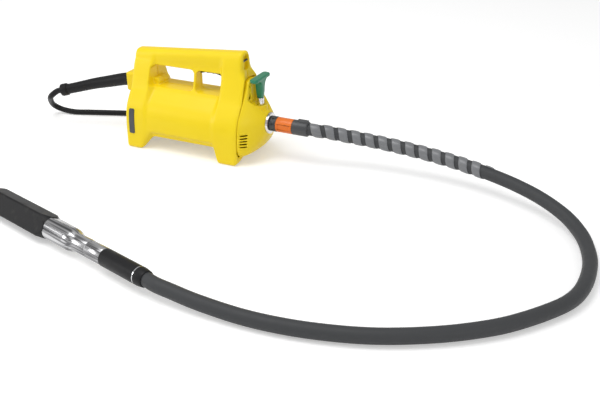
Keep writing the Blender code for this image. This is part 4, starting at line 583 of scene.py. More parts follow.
# ------------------------------------------------------------------ nose ring and lock plunger
# Turned steel ring pressed into the nose, and a sprung pin in a polished barrel
# that holds the coupling.  The green knob on the pin lifts it.
chrome = Look("bright_steel", (0.70, 0.70, 0.71), 0.16, metallic=1.0)
chrome.uneven(0.12, 0.12, 0.004, 2.0, (0.2, 1.0, 1.0))
ring = turned("steel_ring", [
    (0.0672, 0.0224), (0.0666, 0.0233), (0.0655, 0.0236), (0.0623, 0.0236), (0.0623, 0.0195),
    (0.0220, 0.0195), (0.0220, 0.0155), (0.0660, 0.0155), (0.0672, 0.0166)],
    chrome, axis_place, closed=True, steps=128)
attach(ring, "tool")
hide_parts("nose_ring")

PLUNGER_X = 0.041
plunger_place = DRIVE_PLACE + (PLUNGER_X, 0.0, 0.0)
BARREL_TOP = 0.139
barrel = turned("plunger_barrel", [
    (BARREL_TOP, 0.0066), (BARREL_TOP - 0.0004, 0.0074), (BARREL_TOP - 0.0012, 0.0078), (0.1330, 0.0078),
    (0.1326, 0.0072), (0.1318, 0.0072), (0.1314, 0.0078), (0.1073, 0.0078),
    (0.1073, 0.0050), (0.1360, 0.0050), (0.1360, 0.0033), (BARREL_TOP, 0.0033)],
    chrome, plunger_place, ALONG_Z, closed=True)
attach(barrel, "tool")
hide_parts("lock_barrel")


def rounded_rectangle(half_x, half_y, corner, count=12):
    """Outline of a rectangle whose corners are quarter circles."""
    turn = np.linspace(0, np.pi / 2, count)[None, :] + np.pi / 2 * np.arange(4)[:, None]
    corner_x = np.array([1, -1, -1, 1])[:, None] * (half_x - corner)
    corner_y = np.array([1, 1, -1, -1])[:, None] * (half_y - corner)
    outline = np.stack([corner_x + corner * np.cos(turn), corner_y + corner * np.sin(turn)], axis=-1)
    return outline.reshape(-1, 2)


def stack(name, layers, look, place):
    """A solid through level rounded rectangles: (z, half x, half y, corner)."""
    outlines = [(rounded_rectangle(half_x, half_y, corner), z) for z, half_x, half_y, corner in layers]
    grid = np.array([np.column_stack([outline, np.full(len(outline), z)]) for outline, z in outlines])
    return skin(name, grid + place, look)


green = Look("green_plastic", (0.012, 0.215, 0.105), 0.36, coat=0.15)
green.uneven(0.32, 0.12, 0.006)
KNOB_TOP = 0.187
WING_FOOT = KNOB_TOP - 0.0085
knob = stack("lift_knob", [
    (BARREL_TOP + 0.0003, 0.0066, 0.0060, 0.0030), (0.1512, 0.0080, 0.0070, 0.0034),
    (0.1640, 0.0086, 0.0080, 0.0036), (WING_FOOT - 0.0060, 0.0090, 0.0098, 0.0036),
    (WING_FOOT - 0.0020, 0.0090, 0.0135, 0.0036), (WING_FOOT + 0.0020, 0.0090, 0.0190, 0.0036)],
    green, plunger_place)
wing = stack("wing", [
    (WING_FOOT, 0.0068, 0.0310, 0.0045), (WING_FOOT + 0.0008, 0.0083, 0.0328, 0.0060),
    (WING_FOOT + 0.0025, 0.0095, 0.0340, 0.0070), (KNOB_TOP - 0.0025, 0.0095, 0.0340, 0.0070),
    (KNOB_TOP - 0.0008, 0.0086, 0.0331, 0.0062), (KNOB_TOP, 0.0070, 0.0315, 0.0050)], None, plunger_place)
carve(knob, [wing], "UNION", voxel=0.0006, smoothing=6)
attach(knob, "plunger")
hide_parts("lock_knob")

# ------------------------------------------------------------------ housing
# Two half shells of yellow glass-filled nylon, moulded with the carrying grip and
# the feet in one piece each, and screwed together from the far side.
yellow = Look("yellow_plastic", (0.95, 0.70, 0.004), 0.38, coat=0.08, specular=0.35)
yellow.shader.inputs["Coat Roughness"].default_value = 0.22
yellow.uneven(0.34, 0.12, 0.015)
yellow.set("Base Color", yellow.mix((0.93, 0.68, 0.003, 1.0), (0.97, 0.74, 0.006, 1.0), yellow.noise(0.08)))
yellow.bump(yellow.noise(0.0011, 2.0), 0.000035)
HOUSING_REAR = -0.263
HOUSING_FRONT = 0.019
WALL = 0.0035
SILL_Z = 0.138
GRIP_UNDERSIDE = 0.184
GRIP_HALF_WIDTH = 0.0185
GRIP_FRONT = 0.009
GRIP_EDGE = 0.0075
GRIP_EDGE_LENGTH = 0.0115
BROW_Z = (0.180, 0.200)
PULL_START = -0.010
WINDOW = (-0.219, -0.039)
POST = (-0.112, -0.106)
COLUMN_BLENDS = ((-0.219, -0.207), (-0.047, -0.035))
REAR_ARCH = (-0.231, -0.195)
FRONT_ARCH = (-0.045, -0.026)
BAND_TOP_Z = 0.0455
BELLY_Z = 0.030
TOE_X = 0.007
TOE_ROUND = 0.012
HEEL_X = -0.258
HEEL_ROUND = 0.005
GRIP_TOP_REAR = 0.214
GRIP_TOP_FRONT = 0.238
ENTRY_Z = 0.134
SHELL_GAP = 0.00015
END_ROUND = 0.003


def grip_top(x):
    """Height of the grip's top at a station."""
    grip_rise = GRIP_TOP_FRONT - GRIP_TOP_REAR
    return GRIP_TOP_REAR + grip_rise * (x - HOUSING_REAR) / (HOUSING_FRONT - HOUSING_REAR)


def quarter(past, radius):
    """Rise of a quarter circle: radius - sqrt(radius^2 - past^2)."""
    return radius - np.sqrt(radius ** 2 - np.clip(past, 0, radius) ** 2)


def shell_outlines(x, inset=0.0):
    """Half outlines of the shell at stations x, top to belly: fifteen corners that go
    from column to panel and from foot to belly, then each corner cut twice at a
    quarter of its sides.  Toes, heels and the grip's front edge end in quarter circles."""
    column = np.maximum(1 - rise(x, *COLUMN_BLENDS[0]), rise(x, *COLUMN_BLENDS[1]))
    foot = np.maximum(1 - rise(x, *REAR_ARCH), rise(x, *FRONT_ARCH))
    top = grip_top(x)
    mix = lambda panel, side: panel + (side - panel) * column
    low = lambda belly, ground: belly + (ground - belly) * foot
    w = GRIP_HALF_WIDTH
    corners = [
        (0, top), (w * 0.62, top - 0.001), (w * 0.97, top - 0.009),
        (mix(w, w + 0.003), top - 0.022), (mix(w * 0.94, w + 0.008), GRIP_UNDERSIDE + 0.003),
        (mix(0.0285, 0.0440), SILL_Z), (mix(0.0460, 0.0560), 0.122), (mix(0.0645, 0.0680), 0.104),
        (mix(0.0735, 0.0750), 0.086), (mix(0.0768, 0.0780), 0.058),
        (low(0.0768, 0.079), low(BAND_TOP_Z, 0.018)), (low(0.0690, 0.079), low(BAND_TOP_Z - 0.0045, 0.0)),
        (low(0.0675, 0.0640), low(BELLY_Z + 0.001, 0.0)), (low(0.0560, 0.0480), low(BELLY_Z, 0.011)),
        (0, low(BELLY_Z, 0.014))]
    points = np.array([np.stack([y + 0 * x, z + 0 * x], axis=-1) for y, z in corners]).transpose(1, 0, 2)
    for _ in range(2):
        start, end = points[:, :-1], points[:, 1:]
        cut = np.stack([0.75 * start + 0.25 * end, 0.25 * start + 0.75 * end], axis=2).reshape(len(x), -1, 2)
        points = np.concatenate([points[:, :1], cut[:, 1:-1], points[:, -1:]], axis=1)
    if inset:
        way = np.gradient(points, axis=1)
        way /= np.linalg.norm(way, axis=2, keepdims=True)
        points = points + inset * np.stack([way[..., 1], -way[..., 0]], axis=-1)
        points[:, 0] = np.stack([0 * x, top - inset], axis=-1)
        points[:, -1, 0] = 0.0
        points[:, :, 0] = np.maximum(points[:, :, 0], 0.0)
    ground = quarter(x - TOE_X, TOE_ROUND) + quarter(HEEL_X - x, HEEL_ROUND)
    points[..., 1] = np.maximum(points[..., 1], ground[:, None])
    edge = quarter(x - HOUSING_FRONT + GRIP_EDGE_LENGTH, GRIP_EDGE_LENGTH)[:, None]
    edge = edge * GRIP_EDGE / GRIP_EDGE_LENGTH * rise(points[..., 1], *BROW_Z)
    points[..., 0] = np.maximum(points[..., 0] - edge, points[..., 0] * 0.2)
    points[..., 1] -= 0.35 * edge
    return points


def tube_of(outlines, x, side):
    """Half or whole rings (x, y, z) from half outlines: side is -1, 1 or 0 for both.
    A half's stations move back above the brow, in proportion from PULL_START on."""
    y, z = outlines[..., 0], outlines[..., 1]
    along = np.broadcast_to(x[:, None], y.shape)
    if side:
        share = np.clip(along - PULL_START, 0, None) / (HOUSING_FRONT - PULL_START)
        step = (HOUSING_FRONT - GRIP_FRONT) * np.clip((z - BROW_Z[0]) / (BROW_Z[1] - BROW_Z[0]), 0, 1)
        return np.stack([along - step * share, side * (y + SHELL_GAP), z], axis=-1)
    whole = lambda a, b: np.concatenate([a, b[:, -2:0:-1]], axis=1)
    return np.stack([whole(along, along), whole(-y, y), whole(z, z)], axis=-1)


def window_cutters():
    """The hand window round the lead's duct, the switch window, the sides of their
    post, and the slot of the switch."""
    made = [block(name, (low, -0.1, SILL_Z), (high, 0.1, GRIP_UNDERSIDE), 0.009, segments=6)
            for name, low, high in (("hand_window", WINDOW[0], POST[0]),
                                    ("switch_window", POST[1], WINDOW[1]))]
    made.append(block("switch_slot", (-0.103, -0.0085, GRIP_UNDERSIDE - 0.01),
                      (-0.049, 0.0085, GRIP_UNDERSIDE + 0.009)))
    carve(made[0], [bar("duct_boss", -0.020, 0.020, 0.0105,
                        DRIVE_PLACE + (WINDOW[0] + 0.006, 0.0, SILL_Z + 0.006), ALONG_Y)])
    for end in (-1, 1):
        made.append(block("post_side_%d" % end, (POST[0] - 0.012, end * 0.008, SILL_Z),
                          (POST[1] + 0.012, end * 0.1, GRIP_UNDERSIDE)))
    return made


STRAP_ENDS = ((HOUSING_REAR, 1, GRIP_TOP_REAR), (GRIP_FRONT, -1, GRIP_TOP_FRONT))
STRAP_SLOT_HALF = 0.0105
SCREW_SINK_RADIUS = 0.0044
SCREW_SINK_DEPTH = 0.0046
FOOT_WALLS = ((-0.09, -0.045, 0.0195), (0.045, 0.09, 0.0195), (-0.09, -0.0708, 0.029), (0.0708, 0.09, 0.029))
SCREWS = [(-0.244, grip_top(-0.244) - 0.0236), (-0.013, grip_top(-0.013) - 0.0224), (-0.238, 0.027),
          (-0.010, 0.027), (-0.211, 0.112), (-0.045, 0.112)]
outer_x = np.r_[HOUSING_REAR, HOUSING_REAR + np.array([0.0004, 0.0010, 0.0020, 0.0032]),
                np.arange(-0.258, 0.0065, 0.002), np.arange(0.0070, 0.0186, 0.0009), HOUSING_FRONT]
round_x = HOUSING_REAR + np.array([0.0, 0.0004, 0.0010, 0.0020, 0.0032, 0.2735, 0.2775, 0.2800, 0.2820])
end_round = np.interp(outer_x, round_x, [END_ROUND, 0.0019, 0.0011, 0.0004, 0.0, 0.0, 0.0003, 0.0009, 0.0020])
inner_x = np.r_[HOUSING_REAR + WALL, np.arange(-0.256, 0.0190, 0.004), HOUSING_FRONT + 0.002]
for side, name in ((-1, "near"), (1, "far")):
    share = (end_round / END_ROUND)[:, None, None]
    outlines = shell_outlines(outer_x) * (1 - share) + shell_outlines(outer_x, END_ROUND) * share
    outlines[..., 1] = np.maximum(outlines[..., 1], 0.0)
    shell = skin("shell_" + name, tube_of(outlines, outer_x, side) + DRIVE_PLACE, yellow)
    space = skin("space", tube_of(shell_outlines(inner_x, WALL), inner_x, 0) + DRIVE_PLACE, None)
    carve(space, [
        block("window_walls", (WINDOW[0] - WALL, -0.1, SILL_Z - WALL),
              (WINDOW[1] + WALL, 0.1, GRIP_UNDERSIDE + WALL)),
        block("front_solid", (GRIP_FRONT - 0.015, -0.1, 0.1775), (0.03, 0.1, 0.25)),
        block("rear_solid", (HOUSING_REAR, -0.1, 0.169), (HOUSING_REAR + 0.016, 0.1, 0.25)),
        *[block("foot_solid", (0.015, low, -0.01), (0.03, high, top)) for low, high, top in FOOT_WALLS],
        *[bar("boss", -0.09, 0.09, 0.0060, DRIVE_PLACE + (x, 0, z), ALONG_Y, 16) for x, z in SCREWS[:2]],
        *[bar("boss", 0.045, 0.09, 0.0070, DRIVE_PLACE + (x, 0, z), ALONG_Y, 16) for x, z in SCREWS[4:]]])
    cutters = [space, *window_cutters(),
               bar("air_inlet", -0.27, HOUSING_REAR + 0.0045, 0.033, DRIVE_PLACE + (0, 0, AXIS_Z - 0.012)),
               bar("lead_hole", -0.27, HOUSING_REAR + 0.0045, 0.0088, DRIVE_PLACE + (0, 0, ENTRY_Z))]
    for end, inward, top in STRAP_ENDS:
        faces = sorted((end - inward * 0.02, end + inward * 0.010))
        cutters.append(block("strap_slot", (faces[0], -STRAP_SLOT_HALF, top - 0.040),
                             (faces[1], STRAP_SLOT_HALF, top - 0.009), 0.0025))
    if side > 0:
        for row, (x, z) in zip(shell_outlines(np.array([x for x, _ in SCREWS])), SCREWS):
            wide = float(np.interp(-z, -row[:32, 1], row[:32, 0]))
            cutters.append(bar("sink", wide - SCREW_SINK_DEPTH, 0.1, SCREW_SINK_RADIUS,
                               DRIVE_PLACE + (x, 0, z), ALONG_Y, 24))
    carve(shell, cutters, voxel=0.0014, smoothing=6)
    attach(shell, "tool")
    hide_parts("housing_" + name)

# ------------------------------------------------------------------ screws and strap pins
# Zinc-plated steel screws with a hexagon socket, sunk into the far shell, the rear
# cover and the cable entry.  Plain dark pins cross the two strap slots.
screw_steel = Look("screw_steel", (0.42, 0.42, 0.41), 0.34, metallic=1.0)
screw_steel.uneven(0.30, 0.15, 0.002)
pin_steel = Look("pin_steel", (0.10, 0.10, 0.10), 0.45, metallic=0.8)
pin_steel.uneven(0.38, 0.16, 0.003)


def screw(node, way):
    """A screw where the CAD model has it: its head faces against way, and its length
    and head come from the node's box."""
    low, high = (np.array(corner, float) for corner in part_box(node))
    way = np.array(way, float)
    axes = np.array([way, [0.0, 0.0, 1.0], np.cross(way, [0.0, 0.0, 1.0])])
    length = float(abs(way @ (high - low)))
    radius = (high[2] - low[2]) / 2
    place = (low + high) / 2 - way * length / 2
    made = turned(node + "_head", [
        (0.0, 0.0), (0.0, radius - 0.0010), (0.0003, radius - 0.0004), (0.0009, radius), (0.0024, radius),
        (0.0024, 0.0020), (length - 0.0010, 0.0020), (length, 0.0013), (length, 0.0)],
        screw_steel, place, axes, steps=32)
    carve(made, [bar("socket", -0.001, 0.0016, 0.0016, place, axes, 6)])
    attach(made, "tool")
    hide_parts(node)


for number in range(1, 7):
    screw("housing_screw_%d" % number, (0, -1, 0))
for node in [*("cover_screw_%d" % number for number in range(1, 5)), "entry_screw_1", "entry_screw_2"]:
    screw(node, (1, 0, 0))


def dress(look, *nodes):
    """Give CAD nodes that stay in view a material."""
    for node in nodes:
        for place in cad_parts[node].material_slots:
            place.material = look.material


dress(pin_steel, "strap_pin_front", "strap_pin_rear")

# ------------------------------------------------------------------ side plate
# Thin plate of dark anodised sheet, bent to the near side's curve behind the rear
# column.  It is bare where such a plate carries a rating.
plate_grey = Look("plate_grey", (0.075, 0.078, 0.085), 0.36, metallic=0.35)
plate_grey.uneven(0.30, 0.16, 0.004, 2.0, (1.0, 1.0, 0.2))
PLATE_X = np.array([-0.2535, -0.2400])
plate_z = np.linspace(0.0365, 0.0930, 32)
plate_sides = shell_outlines(PLATE_X)
plate_y = np.array([np.interp(-plate_z, -row[:, 1], row[:, 0]) for row in plate_sides[:, :48]]).max(axis=0)
from_end = np.clip(np.abs(plate_z - plate_z.mean()) / 0.02825 * 12.8 - 11.8, 0, 1)
plate_round = 0.0022 * (1 - np.sqrt(1 - from_end ** 2))
rows = []
for x, out in ((PLATE_X[0], 0.0001), (PLATE_X[0], 0.0012), (PLATE_X[0] + 0.0004, 0.0016),
               (PLATE_X[1] - 0.0004, 0.0016), (PLATE_X[1], 0.0012), (PLATE_X[1], 0.0001)):
    pull = np.where(x < PLATE_X.mean(), plate_round, -plate_round)
    rows.append(np.column_stack([x + pull, -plate_y - out, plate_z]))
plate = skin("rating_plate", np.array(rows).transpose(1, 0, 2) + DRIVE_PLACE, plate_grey)
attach(plate, "tool")
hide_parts("side_plate")

# ------------------------------------------------------------------ rear cover
# Moulded cover over the motor's rear end, with six air slots and a screw in each
# corner, in the CAD model's own form.
dress(yellow, "rear_cover")

# ------------------------------------------------------------------ cable entry and sleeve
# Yellow block screwed to the rear column that clamps the lead's rubber sleeve.  The
# sleeve tapers, follows the lead's bend and ends in a rim.
ENTRY_SEAT = HOUSING_REAR - 0.0003
entry = block("lead_clamp", (-0.294, -0.020, ENTRY_Z - 0.022), (ENTRY_SEAT, 0.020, ENTRY_Z + 0.022),
              0.005, yellow, 6)
entry_cutters = [bar("sleeve_bore", -0.32, -0.272, 0.0151, DRIVE_PLACE + (0, 0, ENTRY_Z), steps=64),
                 bar("lead_bore", -0.32, -0.25, 0.0078, DRIVE_PLACE + (0, 0, ENTRY_Z), steps=48)]
for number in (1, 2):
    low, high = (np.array(corner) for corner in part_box("entry_screw_%d" % number))
    middle = (low + high) / 2 * (0, 1, 1)
    entry_cutters.append(bar("sink", low[0] - 0.03, low[0] + 0.0024, 0.0037, middle, steps=24))
carve(entry, entry_cutters, bevel=0.0005)
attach(entry, "tool")
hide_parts("cable_entry")


def swept(name, route, radii, look, steps=64):
    """A round piece along a route: at each (distance, radius) the ring
    centre + radius (cos a up + sin a side)."""
    travel = np.r_[0, np.cumsum(np.linalg.norm(np.diff(route, axis=0), axis=1))]
    at = lambda where: np.column_stack([np.interp(where, travel, route[:, i]) for i in range(3)])
    where, radius = np.array(radii, float).T
    way = at(where + 0.006) - at(where - 0.006)
    side = np.cross(way, [0.0, 0.0, 1.0])
    side /= np.linalg.norm(side, axis=1, keepdims=True)
    up = np.cross(side, way)
    up /= np.linalg.norm(up, axis=1, keepdims=True)
    turn = np.linspace(0, 2 * np.pi, steps, endpoint=False)[None, :, None]
    outward = np.cos(turn) * up[:, None] + np.sin(turn) * side[:, None]
    return skin(name, at(where)[:, None] + radius[:, None, None] * outward + DRIVE_PLACE, look)


sleeve_length = length_of(sleeve_route)
fine = np.linspace(0.002, sleeve_length - 0.0165, 48)
taper = 0.0145 + (0.0120 - 0.0145) * rise(fine / sleeve_length, 0.08, 0.9)
rim = [(sleeve_length - 0.0155, 0.0136), (sleeve_length - 0.0145, 0.0143), (sleeve_length - 0.0130, 0.0146),
       (sleeve_length - 0.0020, 0.0146), (sleeve_length - 0.0008, 0.0141), (sleeve_length, 0.0130)]
sleeve = swept("lead_sleeve", sleeve_route, [(0.0, 0.0140), *zip(fine, taper), *rim], rubber)
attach(sleeve, "tool")
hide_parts("cable_sleeve")

# ------------------------------------------------------------------ nose housing
# Yellow moulding that runs from the shells' outline to the steel ring, with a boss
# for the plunger, a pocket behind the knob, and five air slots on each side.
NOSE_FRONT = 0.062
NOSE_END_RADIUS = 0.0262
NOSE_BASE = np.array([
    (0.0, 0.179), (0.0175, 0.179), (0.0230, 0.174), (0.0290, 0.160), (0.0405, SILL_Z), (0.0525, 0.122),
    (0.0650, 0.104), (0.0722, 0.086), (0.0752, 0.058), (0.0755, 0.036), (0.0690, 0.0215), (0.0520, 0.0180),
    (0.0240, 0.0180), (0.0, 0.0180)])
for _ in range(2):
    start, end = NOSE_BASE[:-1], NOSE_BASE[1:]
    cut = np.stack([0.75 * start + 0.25 * end, 0.25 * start + 0.75 * end], axis=1).reshape(-1, 2)
    NOSE_BASE = np.vstack([NOSE_BASE[:1], cut[1:-1], NOSE_BASE[-1:]])


def nose_rings(x, inset):
    """Rings of the nose at stations x.  Each point of the base outline keeps its
    direction from the axis, and its distance goes to the ring's radius by the share
    reach^(1.35 + 1.9 down^2); above the shoulder it drops at once to a low ridge."""
    y, z = NOSE_BASE.T
    far = np.hypot(y, z - AXIS_Z)
    turn = np.arctan2(z - AXIS_Z, y)
    down = np.maximum(0, -np.sin(turn))
    reach = np.clip((x[:, None] - HOUSING_FRONT) / (NOSE_FRONT - HOUSING_FRONT), 0, 1)
    share = reach ** (1.35 + 1.9 * down ** 2)
    radius = far + (NOSE_END_RADIUS - far) * share
    ridge = 0.0455 + (NOSE_END_RADIUS - 0.0455) * share
    behind = far + (ridge - far) * rise(x, 0.0255, 0.0295)[:, None]
    high = rise(z, 0.143, 0.157)
    radius = radius + (behind - radius) * high - np.broadcast_to(inset, x.shape)[:, None]
    half_y, half_z = radius * np.cos(turn), AXIS_Z + radius * np.sin(turn)
    half_y[:, [0, -1]] = 0.0
    both = lambda near, far_side: np.concatenate([near, far_side[:, -2:0:-1]], axis=1)
    return np.stack([both(half_y * 0 + x[:, None], half_y * 0 + x[:, None]), both(-half_y, half_y),
                     both(half_z, half_z)], axis=-1)


rim_x = HOUSING_FRONT + 0.0003
lip = nose_rings(np.full(5, rim_x), np.array([0.0030, 0.0020, 0.0020, 0.0008, 0.0001]))
lip[:, :, 0] = np.array([0.0080, 0.0090, rim_x, rim_x, rim_x + 0.0007])[:, None]
front_x = np.r_[0.0216, 0.0236, np.arange(0.0250, 0.0305, 0.0006), np.arange(0.0315, 0.0605, 0.0012),
                0.0612, NOSE_FRONT]
front_inset = np.interp(front_x, [0.0216, 0.0250, 0.0605, 0.0612, NOSE_FRONT],
                        [-0.0004, 0.0, 0.0, 0.0003, 0.0012])
nose = skin("nose_cone", np.vstack([lip, nose_rings(front_x, front_inset)]) + DRIVE_PLACE, yellow)
carve(nose, [bar("plunger_boss", 0.1045, 0.1232, 0.0155, plunger_place, ALONG_Z, 64)], "UNION")
inside_x = np.array([rim_x, rim_x, 0.0225, 0.0255, 0.0285, 0.033, 0.038, 0.048])
nose_space = nose_rings(inside_x, 0.0055)
nose_space[0, :, 0] = 0.006
nose_space = skin("nose_space", nose_space + DRIVE_PLACE, None)
carve(nose_space, [bar("ring_stock", 0.028, 0.070, 0.0235, axis_place),
                   bar("boss_stock", AXIS_Z, 0.134, 0.0125, plunger_place, ALONG_Z),
                   block("pocket_wall", (0.018, -0.018, 0.120), (0.05, 0.018, 0.20))])
VENT_X = (0.024, 0.038)
VENT_Z = (0.044, 0.047)
VENT_PITCH = 0.0062
vents = [block("vent", (VENT_X[0], low, VENT_Z[0] + VENT_PITCH * row),
               (VENT_X[1], high, VENT_Z[1] + VENT_PITCH * row))
         for low, high in ((-0.090, -0.040), (0.040, 0.090)) for row in range(5)]
carve(nose, [nose_space, block("knob_pocket", (0.0215, -0.0125, 0.1290), (0.045, 0.0125, 0.20), 0.003),
             bar("ring_seat", 0.0, 0.080, 0.0198, axis_place, steps=96),
             bar("plunger_bore", 0.10, 0.2, 0.0082, plunger_place, ALONG_Z, 64), *vents],
      voxel=0.0011, smoothing=4)
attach(nose, "tool")
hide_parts("nose_housing")

# ------------------------------------------------------------------ switch rocker
# Black rocker under the grip, hollowed for the finger.  It tips on a steel pin.
ROCKER_X = (-0.1018, -0.0502)
ROCKER_Z = (GRIP_UNDERSIDE - 0.0078, GRIP_UNDERSIDE + 0.0085)
along = np.linspace(0.0, 1.0, 33)
foot_line = np.column_stack([ROCKER_X[0] + (ROCKER_X[1] - ROCKER_X[0]) * along,
                             ROCKER_Z[0] + 0.0042 * np.sin(np.pi * along)])
rocker_outline = np.vstack([[(ROCKER_X[0], ROCKER_Z[1])], foot_line, [(ROCKER_X[1], ROCKER_Z[1])]])
rocker_middle = rocker_outline.mean(axis=0)
rocker_rows = []
for y, shrink in ((-0.0078, 0.0008), (-0.0074, 0.0002), (-0.0068, 0.0),
                  (0.0068, 0.0), (0.0074, 0.0002), (0.0078, 0.0008)):
    flat = rocker_outline + np.sign(rocker_middle - rocker_outline) * shrink
    rocker_rows.append(np.column_stack([flat[:, 0], np.full(len(flat), y), flat[:, 1]]))
rocker = skin("finger_rocker", np.array(rocker_rows) + DRIVE_PLACE, rubber)
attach(rocker, "rocker")
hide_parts("switch_rocker")

# ------------------------------------------------------------------ hose end fitting and neck
# Black rubber-coated fitting crimped on the hose, a thin steel ring in its groove,
# and the turned steel neck of the head, thicker and with four flats behind the block.
head_axes = np.array([head_way, [0.0, 0.0, 1.0], np.cross(head_way, [0.0, 0.0, 1.0])])
head_place = DRIVE_PLACE + HEAD_PLACE
FITTING_LENGTH = 0.108
FITTING_RADIUS = 0.0165
GROOVE_RADIUS = FITTING_RADIUS - 0.0009
fitting = turned("end_fitting", [
    (FITTING_LENGTH, GROOVE_RADIUS), (FITTING_LENGTH - 0.0004, FITTING_RADIUS - 0.0003),
    (FITTING_LENGTH - 0.0012, FITTING_RADIUS), (0.0206, FITTING_RADIUS), (0.0205, GROOVE_RADIUS),
    (0.0180, GROOVE_RADIUS), (0.0179, FITTING_RADIUS), (0.0120, FITTING_RADIUS), (0.0015, 0.0150),
    (0.0, 0.0144), (0.0, 0.0139), (0.0060, 0.0133), (0.0203, 0.0133), (0.0203, 0.0082),
    (0.0877, 0.0082), (0.0877, 0.0123), (FITTING_LENGTH, 0.0123)], rubber, head_place, head_axes, closed=True)
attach(fitting, "tool")
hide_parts("hose_end_fitting")
crimp = turned("crimp_ring", [(0.0182, 0.0157), (0.0183, 0.0162), (0.0202, 0.0162), (0.0203, 0.0157)],
               chrome, head_place, head_axes, closed=True)
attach(crimp, "tool")

neck_steel = Look("neck_steel", (0.60, 0.60, 0.61), 0.26, metallic=1.0)
# Painted reflection: noise stretched along the neck's axis turns its base colour into dark and bright
# streaks, which stand in for dark surroundings mirrored in the polished steel. The same noise also varies the
# roughness, like turning marks.
marks_and_reflection_noise = neck_steel.noise(0.0045, 3.0, (0.03, 1.0, 1.0), (0.0, 0.0, -HEAD_HEADING))
neck_steel.set("Roughness", 0.16 + marks_and_reflection_noise * 0.16)
painted_reflection_streaks = marks_and_reflection_noise.above(0.36, 0.64)
neck_steel.set("Base Color", neck_steel.mix((0.13, 0.13, 0.135, 1.0), (0.62, 0.62, 0.63, 1.0), painted_reflection_streaks))
neck = turned("neck", [
    (0.286, 0.0140), (0.2855, 0.0147), (0.2637, 0.0147), (0.2637, 0.0212), (0.2633, 0.0215),
    (0.2040, 0.0215), (0.1985, 0.0212), (0.1930, 0.0200), (0.1880, 0.0183), (0.1830, 0.0170),
    (0.1780, 0.0165), (0.1500, 0.0165), (0.1495, 0.0162), (0.1485, 0.0162), (0.1480, 0.0165),
    (0.1095, 0.0165), (0.1083, 0.0158), (0.1083, 0.0120), (0.0880, 0.0120), (0.0880, 0.0082),
    (0.286, 0.0082)], neck_steel, head_place, head_axes, closed=True)


def rolled(piece, number):
    """Turn a cutter made above the drive unit's own origin into the head's frame, a
    quarter turn further for each number."""
    roll = Matrix.Rotation(HEAD_ROLL + number * math.pi / 2, 4, "X")
    heading = Matrix.Rotation(HEAD_HEADING, 4, "Z")
    back = Matrix.Translation(-DRIVE_PLACE)
    piece.data.transform(Matrix.Translation(head_place) @ heading @ roll @ back)
    return piece


carve(neck, [rolled(block("flat_%d" % number, (0.2065, -0.03, 0.0200), (0.2640, 0.03, 0.04)), number)
             for number in range(4)], bevel=0.0003)
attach(neck, "tool")
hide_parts("head_neck")

# ------------------------------------------------------------------ head block
# Square bar of hardened steel, blackened and rubbed by concrete.  Its ends are turned
# down, which leaves a bright lens on each corner beside the neck.
BLOCK_SPAN = (0.264, 0.452)
worn_black = Look("worn_black_steel", (0.011, 0.011, 0.012), 0.50, specular=0.22)
rub_mask = worn_black.noise(0.022, 4.0).above(0.56, 0.74)
worn_black.set("Base Color", worn_black.mix((0.010, 0.010, 0.011, 1.0), (0.032, 0.031, 0.030, 1.0), rub_mask))
worn_black.set("Roughness", 0.46 + rub_mask * 0.14)
worn_black.bump(worn_black.noise(0.0030, 4.0), 0.00012)
lens_steel = Look("lens_steel", (0.42, 0.42, 0.42), 0.34, metallic=1.0)
lens_steel.uneven(0.28, 0.16, 0.004)


def turning_limit(s):
    """Radius that the ends are turned to, at a distance from the hose joint."""
    return np.interp(s, [0.263, 0.288, 0.4485, 0.452], [0.0210, 0.0300, 0.0300, 0.0255])


def square_limit(turn):
    """Distance to the rounded square: half / cos t on its flats, and
    a (cos t + sin t) + sqrt(c^2 - a^2 (1 - sin 2t)) on its corners."""
    t = np.mod(turn, np.pi / 2)
    t = np.minimum(t, np.pi / 2 - t)
    a, c = BLOCK_FLAT_HALF, BLOCK_CORNER
    on_corner = BLOCK_HALF * np.tan(t) > a
    under_root = np.maximum(0, c ** 2 - a ** 2 * (1 - np.sin(2 * t)))
    return np.where(on_corner, a * (np.cos(t) + np.sin(t)) + np.sqrt(under_root), BLOCK_HALF / np.cos(t))


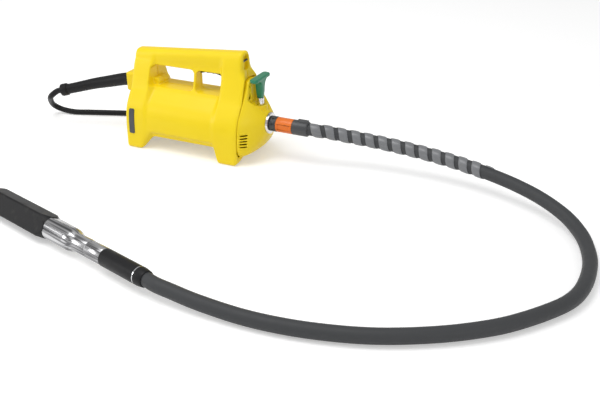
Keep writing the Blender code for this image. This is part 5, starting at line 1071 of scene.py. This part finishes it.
block_s = np.r_[BLOCK_SPAN[0], np.arange(0.2650, 0.2885, 0.0006), np.linspace(0.289, 0.448, 24),
                np.arange(0.4484, 0.4517, 0.0004), BLOCK_SPAN[1]]
block_turn = np.linspace(0, 2 * np.pi, 256, endpoint=False)
block_radius = np.minimum(square_limit(block_turn)[None, :], turning_limit(block_s)[:, None])
block_radius[[0, -1]] -= 0.0004
block_grid = np.stack([block_s[:, None] + 0 * block_radius, block_radius * np.cos(block_turn),
                       block_radius * np.sin(block_turn)], axis=-1)
roll_axes = np.array([head_axes[0],
                      math.cos(HEAD_ROLL) * head_axes[1] + math.sin(HEAD_ROLL) * head_axes[2],
                      -math.sin(HEAD_ROLL) * head_axes[1] + math.cos(HEAD_ROLL) * head_axes[2]])
head_block = skin("vibrating_block", block_grid @ roll_axes + head_place, worn_black, sharp=24.0)
head_block.data.materials.append(lens_steel.material)
middles = np.empty(len(head_block.data.polygons) * 3)
head_block.data.polygons.foreach_get("center", middles)
local = (middles.reshape(-1, 3) - head_place) @ roll_axes.T
free = square_limit(np.arctan2(local[:, 2], local[:, 1])) - turning_limit(local[:, 0])
on_lens = (free > 0) & (local[:, 0] > BLOCK_SPAN[0] + 1e-5) & (local[:, 0] < 0.29)
head_block.data.polygons.foreach_set("material_index", on_lens.astype(np.int32))
carve(head_block, [bar("neck_bore", 0.25, 0.440, 0.0150, head_place, head_axes, 64)], keep_looks=True)
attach(head_block, "tool")
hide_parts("head_block")

# ------------------------------------------------------------------ pieces inside
# Motor, switch, drive and eccentric, as the CAD model has them.  They are seen
# through the slots only.
laminated = Look("laminated_steel", (0.09, 0.09, 0.095), 0.42, metallic=0.8)
laminated.uneven(0.36, 0.2, 0.0012, 2.0, (8.0, 1.0, 1.0))
machined = Look("machined_steel", (0.52, 0.52, 0.53), 0.28, metallic=1.0)
machined.uneven(0.22, 0.16, 0.003, 2.0, (4.0, 1.0, 1.0))
copper = Look("enamelled_copper", (0.60, 0.24, 0.09), 0.32, metallic=1.0)
copper.uneven(0.26, 0.16, 0.002)
carbon = Look("pressed_carbon", (0.025, 0.025, 0.026), 0.6)
carbon.uneven(0.52, 0.2, 0.001)
inner_grey = Look("inner_plastic", (0.10, 0.10, 0.105), 0.5)
inner_grey.uneven(0.44, 0.14, 0.006)
dress(laminated, "stator_core", "armature_core")
dress(machined, "armature_shaft", "rear_bearing", "front_bearing", "drive_socket", "drive_tang",
      "flexible_core", "head_shaft", "head_bearing_rear", "head_bearing_front", "eccentric_weight",
      "switch_pin")
dress(chrome, "lock_pin", "lock_spring")
dress(copper, "field_coil_upper", "field_coil_lower", "commutator")
dress(carbon, "brush_near", "brush_far")
dress(inner_grey, "brush_carrier", "cooling_fan", "switch_body")
dress(rubber, "inner_lead")
